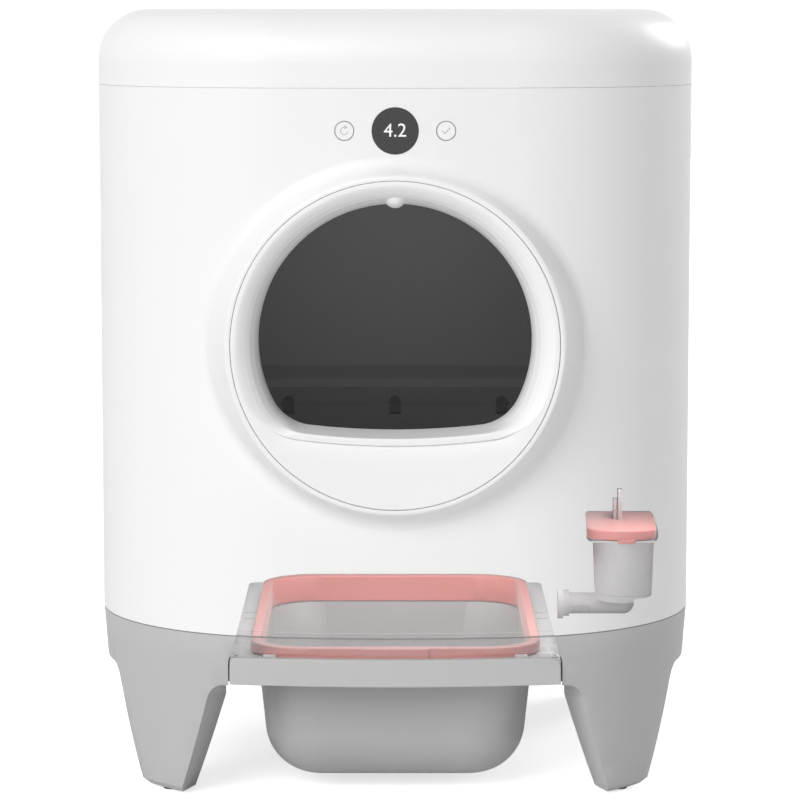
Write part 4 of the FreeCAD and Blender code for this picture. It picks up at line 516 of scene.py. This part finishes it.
def printed_line(name, centre_x, centre_z, track, width, body, looks):
    """A printed line on a key: a thin rounded bead carried along a track of (x, z) points.

    Each cross section is an ellipse, width wide and a tenth of a millimetre either side of the key's
    face, set square to the track.  An open track's ends close on their middle.
    """
    track = np.asarray(track)
    along = np.gradient(track, axis=0)
    closed = np.allclose(track[0], track[-1])
    if closed:
        along[0] = along[-1] = track[1] - track[-2]
    along /= np.linalg.norm(along, axis=1, keepdims=True)
    side = np.stack([along[:, 1], -along[:, 0]], axis=1)
    turn = np.linspace(0, 2 * np.pi, 12, endpoint=False)
    flat = track[:, None, :] + side[:, None, :] * np.cos(turn)[None, :, None] * width / 2
    y = front_y(centre_x) - PRINT_HEIGHT * MM * np.sin(turn)[None, :] * np.ones((len(track), 1))
    points = np.stack([(flat[..., 0] + centre_x) * MM, y, (flat[..., 1] + centre_z) * MM], axis=2)
    if not closed:
        ends = [np.repeat(points[k].mean(axis=0)[None, None], len(turn), axis=1) for k in (0, -1)]
        points = np.concatenate([ends[0], points, ends[1]])
    piece = made_object(name, body, grid_mesh(name, points, around=True), looks["print"])
    return piece


def circle_track(radius, start, end, count=64):
    turn = np.radians(np.linspace(start, end, count))
    return np.stack([radius * np.cos(turn), radius * np.sin(turn)], axis=1)


def line_track(points, count=12):
    points = np.asarray(points)
    steps = np.linspace(0, len(points) - 1, count * (len(points) - 1) + 1)
    return np.stack([np.interp(steps, np.arange(len(points)), points[:, k]) for k in (0, 1)], axis=1)


def keys(looks):
    """The two keys' printed outlines: a round arrow on the left one, a plain tick on the right one."""
    outline = circle_track(BUTTON_RADIUS - 0.35, 0, 360)
    printed_line("left_outline", -BUTTON_X, CONTROL_Z, outline, 0.5, "left_key", looks)
    printed_line("right_outline", BUTTON_X, CONTROL_Z, outline, 0.5, "right_key", looks)
    printed_line("left_arrow_arc", -BUTTON_X, CONTROL_Z, circle_track(2.9, 60, 350), 0.55, "left_key", looks)
    head = line_track([(0.2, 4.2), (1.9, 2.6), (0.0, 1.4)])
    printed_line("left_arrow_head", -BUTTON_X, CONTROL_Z, head, 0.55, "left_key", looks)
    tick = line_track([(-3.0, 0.2), (-0.9, -2.0), (3.1, 2.4)])
    printed_line("right_tick", BUTTON_X, CONTROL_Z, tick, 0.7, "right_key", looks)


def turned(centre, start, end, count):
    """Points on an arc from start towards end, without the end."""
    radius = np.hypot(*(np.subtract(start, centre)))
    first = np.arctan2(start[1] - centre[1], start[0] - centre[0])
    last = np.arctan2(end[1] - centre[1], end[0] - centre[0])
    turn = np.linspace(first, last, count, endpoint=False)
    return np.stack([centre[0] + radius * np.cos(turn), centre[1] + radius * np.sin(turn)], axis=1)


def entrance_outline(radius, centre_z, bottom_z, corner, grow=0.0):
    """The funnel's outline: a round top, two lower corners and a slightly bowed sill, all tangent.

    The corner's middle is where circles of radius minus corner about the top arc's middle and of sill
    minus corner about the sill arc's middle meet.
    """
    radius, corner, sill = radius + grow, corner + grow, SILL_RADIUS + grow
    bottom_z = bottom_z - grow
    sill_z = bottom_z + sill
    near, far = radius - corner, sill - corner
    corner_z = (sill_z**2 - centre_z**2 - far**2 + near**2) / (2 * (sill_z - centre_z))
    corner_x = math.sqrt(near**2 - (corner_z - centre_z) ** 2)
    side = (corner_x * radius / near, centre_z + (corner_z - centre_z) * radius / near)
    low = (corner_x * sill / far, sill_z + (corner_z - sill_z) * sill / far)
    half = np.concatenate([
        turned((0.0, centre_z), (0.0, centre_z + radius), side, 70),
        turned((corner_x, corner_z), side, low, 36),
        turned((0.0, sill_z), low, (0.0, bottom_z), 40),
        [(0.0, bottom_z)],
    ])
    return np.concatenate([half, (half * [-1, 1])[-2:0:-1]])


def course(points, step):
    """A course's share and depth at a step, on straight lines between its points."""
    steps, shares, depths = zip(*points)
    return np.interp(step, steps, shares), np.interp(step, steps, depths)


def entrance_funnel(looks):
    """The white funnel in one sweep: frame's edge, flat face, trumpet, sleeve and back.

    Each row is a mix of two outlines at one depth.  On the trumpet the share from the wide to the
    narrow outline and the depth follow a quarter round; over the sill they follow a lip instead, whose
    upright face stands at the front.  The lip fades out round the lower corners.
    """
    wide = entrance_outline(**FUNNEL_OUTLINE)
    narrow = entrance_outline(**OPENING_OUTLINE)
    back_wide = entrance_outline(**FUNNEL_OUTLINE, grow=FUNNEL_WALL)
    back_narrow = entrance_outline(**OPENING_OUTLINE, grow=FUNNEL_WALL)
    away = wide - [0.0, ENTRANCE_Z]
    ray = away / np.linalg.norm(away, axis=1, keepdims=True)
    middle = np.array([0.0, ENTRANCE_Z])
    low_half = wide[:, 1] < ENTRANCE_Z - 40
    fade = np.clip((LIP_REACH + LIP_FADE - np.abs(wide[:, 0])) / LIP_FADE, 0, 1) * low_half
    lip = fade * fade * (3 - 2 * fade)
    rows = []

    def add(flat, depth):
        rows.append(np.stack([flat[:, 0], FACE_Y + depth + 0 * flat[:, 0], flat[:, 1]], axis=1))

    for inset, depth in ((0.0, 9.0), (0.0, 2.0), (0.0, 0.8), (0.25, 0.25), (0.8, 0.0), (FACE_ROUND, 0.0)):
        add(middle + ray * (ENTRANCE_RADIUS - inset), depth)
    rim = middle + ray * (ENTRANCE_RADIUS - FACE_ROUND)
    gap = np.linalg.norm(rim - wide, axis=1)
    for share in np.linspace(0.05, 0.985, 40):
        left = (1 - share) * gap
        add(rim + (wide - rim) * share, LIP_RISE * lip * np.clip(1 - left / LIP_RUN, 0, 1) ** 2)
    for step in np.linspace(0, 1, 60):
        round_share, round_depth = course(TRUMPET, step)
        lip_share, lip_depth = course(SILL_LIP, step)
        share = round_share + (lip_share - round_share) * lip
        depth = round_depth + (lip_depth - round_depth) * lip
        add(wide + (narrow - wide) * share[:, None], depth)
    add(back_narrow, SLEEVE_END)
    add(back_narrow, 25.0)
    add(back_wide, 5.0)
    add(middle + ray * (ENTRANCE_RADIUS - 1.0), 5.5)
    add(middle + ray * (ENTRANCE_RADIUS - 1.0), 9.0)
    rows.append(rows[0])
    mesh = grid_mesh("entrance_funnel", np.stack(rows) * MM, around=True)
    piece = made_object("entrance_funnel", "housing", mesh, looks["shell"])
    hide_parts("entrance_ring")


def sensor_cover(looks):
    """The sensor's smooth dome, half sunk in the top of the funnel: an ellipsoid longer along its axis."""
    rise = np.linspace(-np.pi / 2, np.pi / 2, 33)[:, None]
    turn = np.linspace(0, 2 * np.pi, 64, endpoint=False)[None, :]
    across = DOME_RADIUS * np.cos(rise)
    points = np.stack([across * np.cos(turn), FACE_Y + DOME_DEPTH - DOME_LENGTH * np.sin(rise) + 0 * turn,
                       DOME_Z + across * np.sin(turn)], axis=2)
    mesh = grid_mesh("sensor_cover", points * MM, around=True)
    dome = made_object("sensor_cover", "housing", mesh, looks["shell"])
    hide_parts("sensor_dome")


def panel_outline(half, low, high, radius, count=24):
    """A rectangle with rounded top corners, from the lower left over the top and back along the bottom.

    The bottom has a point under each of the top's, so that both meet on one middle line.
    """
    turn = np.linspace(np.pi, np.pi / 2, count)
    left = np.stack([-half + radius + radius * np.cos(turn), high - radius + radius * np.sin(turn)], axis=1)
    right = left[::-1] * [-1, 1]
    rise = np.linspace(low, high - radius, 8)[:-1]
    side = np.stack([np.full(7, -half), rise], axis=1)
    top = np.linspace(-half + radius, half - radius, 60)[1:-1]
    over = np.stack([top, np.full(58, high)], axis=1)
    under = np.concatenate([left, over, right])[-2:0:-1]
    under[:, 1] = low
    return np.concatenate([side, left, over, right, side[::-1] * [-1, 1], under])


def plate_front(x, z):
    """The base's drafted front in the frame's metres, for a place in millimetres."""
    return front_y(x) + (BASE_SEAM_Z - z) * SKIRT_SLOPE * MM


def plate(name, outline, offset, thickness, edge, body, look):
    """A plate that follows the base's front: its outline shrinks to a middle line on front and back.

    From the back's middle to the back's edge, over the thickness, round the front edge by edge
    millimetres and to the front's middle.
    """
    low, high = outline[:, 1].min(), outline[:, 1].max()
    middle = np.stack([outline[:, 0] * 0.9, np.full(len(outline), (low + high) / 2)], axis=1)
    rows = []

    def add(flat, depth):
        x, z = flat[:, 0], flat[:, 1]
        rows.append(np.stack([x * MM, plate_front(x, z) + (offset + depth) * MM, z * MM], axis=1))

    inward = middle - outline
    inward /= np.linalg.norm(inward, axis=1, keepdims=True)
    for share in (1.0, 0.5, 0.0):
        add(outline + (middle - outline) * share, thickness)
    for turn in np.linspace(0, np.pi / 2, 7):
        add(outline + inward * edge * (1 - math.cos(turn)), edge * (1 - math.sin(turn)))
    start = outline + inward * edge
    for share in (0.02, 0.1, 0.3, 0.6, 1.0):
        add(start + (middle - start) * share, 0.0)
    piece = made_object(name, body, grid_mesh(name, np.stack(rows), around=True), look)
    return piece


def drawer_front(looks):
    """The drawer's panel with its rounded edge, and the low step on top that closes under the bridge."""
    low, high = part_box("drawer_panel")
    half = high[0] / MM
    outline = panel_outline(half, low[2] / MM, PANEL_FACE_TOP, PANEL_CORNER)
    panel = plate("drawer_front", outline, 0.0, 6.8, 1.1, "drawer", looks["panel"])
    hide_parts("drawer_panel")
    outline = panel_outline(half - 0.3, PANEL_FACE_TOP - 10, high[2] / MM, PANEL_CORNER)
    step = plate("drawer_step", outline, 1.3, 4.0, 0.5, "drawer", looks["base"])


def squared_round(half_x, half_y, power, count=200):
    """A rectangle with soft corners: cosine and sine of the angle, each raised to a small power."""
    turn = np.linspace(0, 2 * np.pi, count, endpoint=False)
    x = half_x * np.sign(np.cos(turn)) * np.abs(np.cos(turn)) ** power
    y = half_y * np.sign(np.sin(turn)) * np.abs(np.sin(turn)) ** power
    return x, y


def slab(name, plan, place, base, top, edge, body, look):
    """A slab over a plan outline: from the bottom's middle out, up the side, over the edge and in again."""
    x, y = plan
    reach_x, reach_y = np.abs(x).max(), np.abs(y).max()
    rows = []

    def add(scale, inset, z):
        grown_x = x * scale * (1 - inset / reach_x)
        grown_y = y * scale * (1 - inset / reach_y)
        rows.append(np.stack([place[0] + grown_x, place[1] + grown_y, z + 0 * x], axis=1))

    for scale in (0.0, 0.5, 0.97):
        add(scale, 0.0, base)
    add(1.0, 0.3, base)
    add(1.0, 0.0, base + 0.4)
    for rise in np.linspace(0, np.pi / 2, 9):
        add(1.0, edge * (1 - math.cos(rise)), top - edge * (1 - math.sin(rise)))
    for scale in (0.9, 0.5, 0.0):
        add(scale, edge, top)
    piece = made_object(name, body, grid_mesh(name, np.stack(rows) * MM, around=True), look)
    return piece


def unit_cover(looks):
    """The deodoriser's pink lid with its bowed front, catch tab and pull lug, turned a little as one.

    The bow sets the front's ends back with the square of x.
    """
    low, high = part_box("cup_lid")
    half_y = (high[1] - low[1]) / 2 / MM - 1.5
    x, y = squared_round(COVER_WIDTH / 2, half_y, 0.2, 280)
    y = y + COVER_BOW * (x / x.max()) ** 2 * np.clip(-y / half_y, 0, 1)
    lean = math.radians(COVER_TURN)
    plan = (x * math.cos(lean) - y * math.sin(lean), x * math.sin(lean) + y * math.cos(lean))
    middle_y = (low[1] + high[1]) / 2 / MM
    cover = slab("unit_cover", plan, (COVER_X, middle_y), COVER_TOP - COVER_HEIGHT, COVER_TOP, 1.4,
                 "cup_cover", looks["cover"])
    front = low[1] / MM
    slab("cover_tab", squared_round(7.2, 1.6, 0.3), (CUP_X + 0.8, front + 3.6), 197.0, 200.6, 0.6,
         "cup_cover", looks["cover"])
    slab("cover_plug", squared_round(23.6, 23.6, 1.0), (CUP_X, CUP_AXIS_Y), 196.2, 200.8, 0.6,
         "cup_cover", looks["cover"])
    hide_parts("cup_lid")
    tall = slab("pull_blade", squared_round(2.15, 5.0, 0.35), (191.2, -62.0), 207.8, 234.4, 1.9,
                "cup_cover", looks["post"])
    slab("pull_step", squared_round(2.0, 8.0, 0.35), (187.4, -56.0), 207.8, 226.4, 0.8,
         "cup_cover", looks["post"])
    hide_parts("lid_post")


def numerals(text, looks):
    """Plain lit numerals on the display, as when it shows a weight."""
    curve = bpy.data.curves.new("numerals", "FONT")
    curve.body = text
    curve.size = NUMERAL_SIZE * MM
    curve.align_x = "CENTER"
    curve.align_y = "CENTER"
    curve.extrude = NUMERAL_THICKNESS * MM
    written = bpy.data.objects.new("numerals_text", curve)
    bpy.context.scene.collection.objects.link(written)
    bpy.context.view_layer.update()
    graph = bpy.context.evaluated_depsgraph_get()
    mesh = bpy.data.meshes.new_from_object(written.evaluated_get(graph))
    bpy.data.objects.remove(written)
    count = len(mesh.vertices)
    flat = np.empty(count * 3)
    mesh.vertices.foreach_get("co", flat)
    flat = flat.reshape(-1, 3)
    ahead = front_y(0) - PRINT_HEIGHT * MM - flat[:, 2]
    upright = np.stack([flat[:, 0], ahead, flat[:, 1] + CONTROL_Z * MM], axis=1)
    mesh.vertices.foreach_set("co", upright.ravel())
    mesh.update()
    piece = made_object("numerals", "housing", mesh, looks["digits"])


def stage_floor():
    """A pale plain floor that brightens to the background's white further out."""
    mesh = bpy.data.meshes.new("floor")
    corners = [(FLOOR_REACH * u, FLOOR_REACH * v, 0) for u, v in ((-1, -1), (1, -1), (1, 1), (-1, 1))]
    mesh.from_pydata(corners, [], [(0, 1, 2, 3)])
    floor = bpy.data.objects.new("floor", mesh)
    bpy.context.scene.collection.objects.link(floor)
    material, tree, shader = new_material("studio_floor")
    shader.inputs["Base Color"].default_value = (0.9, 0.9, 0.9, 1)
    shader.inputs["Roughness"].default_value = 0.95
    shader.inputs["Specular IOR Level"].default_value = 0.0
    shader.inputs["Emission Color"].default_value = (1, 1, 1, 1)
    coordinates = node(tree, "ShaderNodeTexCoord")
    length = node(tree, "ShaderNodeVectorMath", operation="LENGTH")
    tree.links.new(coordinates.outputs["Object"], length.inputs[0])
    glow = node(tree, "ShaderNodeMapRange", interpolation_type="SMOOTHSTEP")
    glow.inputs["From Min"].default_value = FLOOR_GLOW["near"][0]
    glow.inputs["From Max"].default_value = FLOOR_GLOW["far"][0]
    glow.inputs["To Min"].default_value = FLOOR_GLOW["near"][1]
    glow.inputs["To Max"].default_value = FLOOR_GLOW["far"][1]
    tree.links.new(length.outputs["Value"], glow.inputs["Value"])
    path = node(tree, "ShaderNodeLightPath")
    seen = node(tree, "ShaderNodeMath", operation="MULTIPLY")
    tree.links.new(glow.outputs["Result"], seen.inputs[0])
    tree.links.new(path.outputs["Is Camera Ray"], seen.inputs[1])
    tree.links.new(seen.outputs[0], shader.inputs["Emission Strength"])
    mesh.materials.append(material)


def area_light(name, place, target, width, height, power):
    """A soft box that lights a hollow and isn't seen itself."""
    data = bpy.data.lights.new(name, "AREA")
    data.shape = "RECTANGLE"
    data.size = width
    data.size_y = height
    data.energy = power
    lamp = bpy.data.objects.new(name, data)
    lamp.location = place
    lamp.rotation_euler = (Vector(target) - Vector(place)).to_track_quat("-Z", "Y").to_euler()
    lamp.visible_camera = False
    bpy.context.scene.collection.objects.link(lamp)


def far_light(name, azimuth, elevation, spread, strength):
    """A broad far light: azimuth from the front towards the right, elevation above the floor."""
    data = bpy.data.lights.new(name, "SUN")
    data.energy = strength
    data.angle = math.radians(spread)
    lamp = bpy.data.objects.new(name, data)
    turn, rise = math.radians(azimuth), math.radians(elevation)
    place = Vector((math.cos(rise) * math.sin(turn), -math.cos(rise) * math.cos(turn), math.sin(rise)))
    lamp.rotation_euler = place.to_track_quat("Z", "Y").to_euler()
    bpy.context.scene.collection.objects.link(lamp)


def studio():
    """Soft light from the upper left, a weaker one from behind on the right and a white surround."""
    world = bpy.data.worlds.new("studio")
    bpy.context.scene.world = world
    world.use_nodes = True
    tree = world.node_tree
    ambient = next(n for n in tree.nodes if n.type == "BACKGROUND")
    ambient.inputs["Color"].default_value = (1, 1, 1, 1)
    ambient.inputs["Strength"].default_value = AMBIENT
    seen = node(tree, "ShaderNodeBackground")
    seen.inputs["Color"].default_value = (1, 1, 1, 1)
    seen.inputs["Strength"].default_value = BACKGROUND
    path = node(tree, "ShaderNodeLightPath")
    open_ray = node(tree, "ShaderNodeMath", operation="MAXIMUM")
    tree.links.new(path.outputs["Is Camera Ray"], open_ray.inputs[0])
    tree.links.new(path.outputs["Is Glossy Ray"], open_ray.inputs[1])
    mixed = node(tree, "ShaderNodeMixShader")
    output = next(n for n in tree.nodes if n.type == "OUTPUT_WORLD")
    tree.links.new(open_ray.outputs[0], mixed.inputs["Fac"])
    tree.links.new(ambient.outputs["Background"], mixed.inputs[1])
    tree.links.new(seen.outputs["Background"], mixed.inputs[2])
    tree.links.new(mixed.outputs["Shader"], output.inputs["Surface"])
    for name, values in FAR_LIGHTS.items():
        far_light(name, *values)
    for name, values in HOLLOW_LIGHTS.items():
        area_light(name, *values)
    bpy.context.scene.view_settings.view_transform = "Standard"


def camera():
    data = bpy.data.cameras.new("camera")
    data.lens = CAMERA_LENS
    data.sensor_width = 36
    data.shift_x = CAMERA_SHIFT
    data.clip_start = 0.1
    data.clip_end = 50
    view = bpy.data.objects.new("camera", data)
    view.location = (0, CAMERA_Y * MM, CAMERA_Z * MM)
    view.rotation_euler = (math.radians(90 - CAMERA_TILT), 0, 0)
    bpy.context.scene.collection.objects.link(view)
    bpy.context.scene.camera = view


looks = finishes()
dress_nodes(looks)
for name in ("base_skirt", "drawer_frame", "bag_ring", "waste_bin"):
    soften_edges(name, 1.0)
keys(looks)
numerals("4.2", looks)
entrance_funnel(looks)
sensor_cover(looks)
drawer_front(looks)
unit_cover(looks)
stage_floor()
studio()
camera()
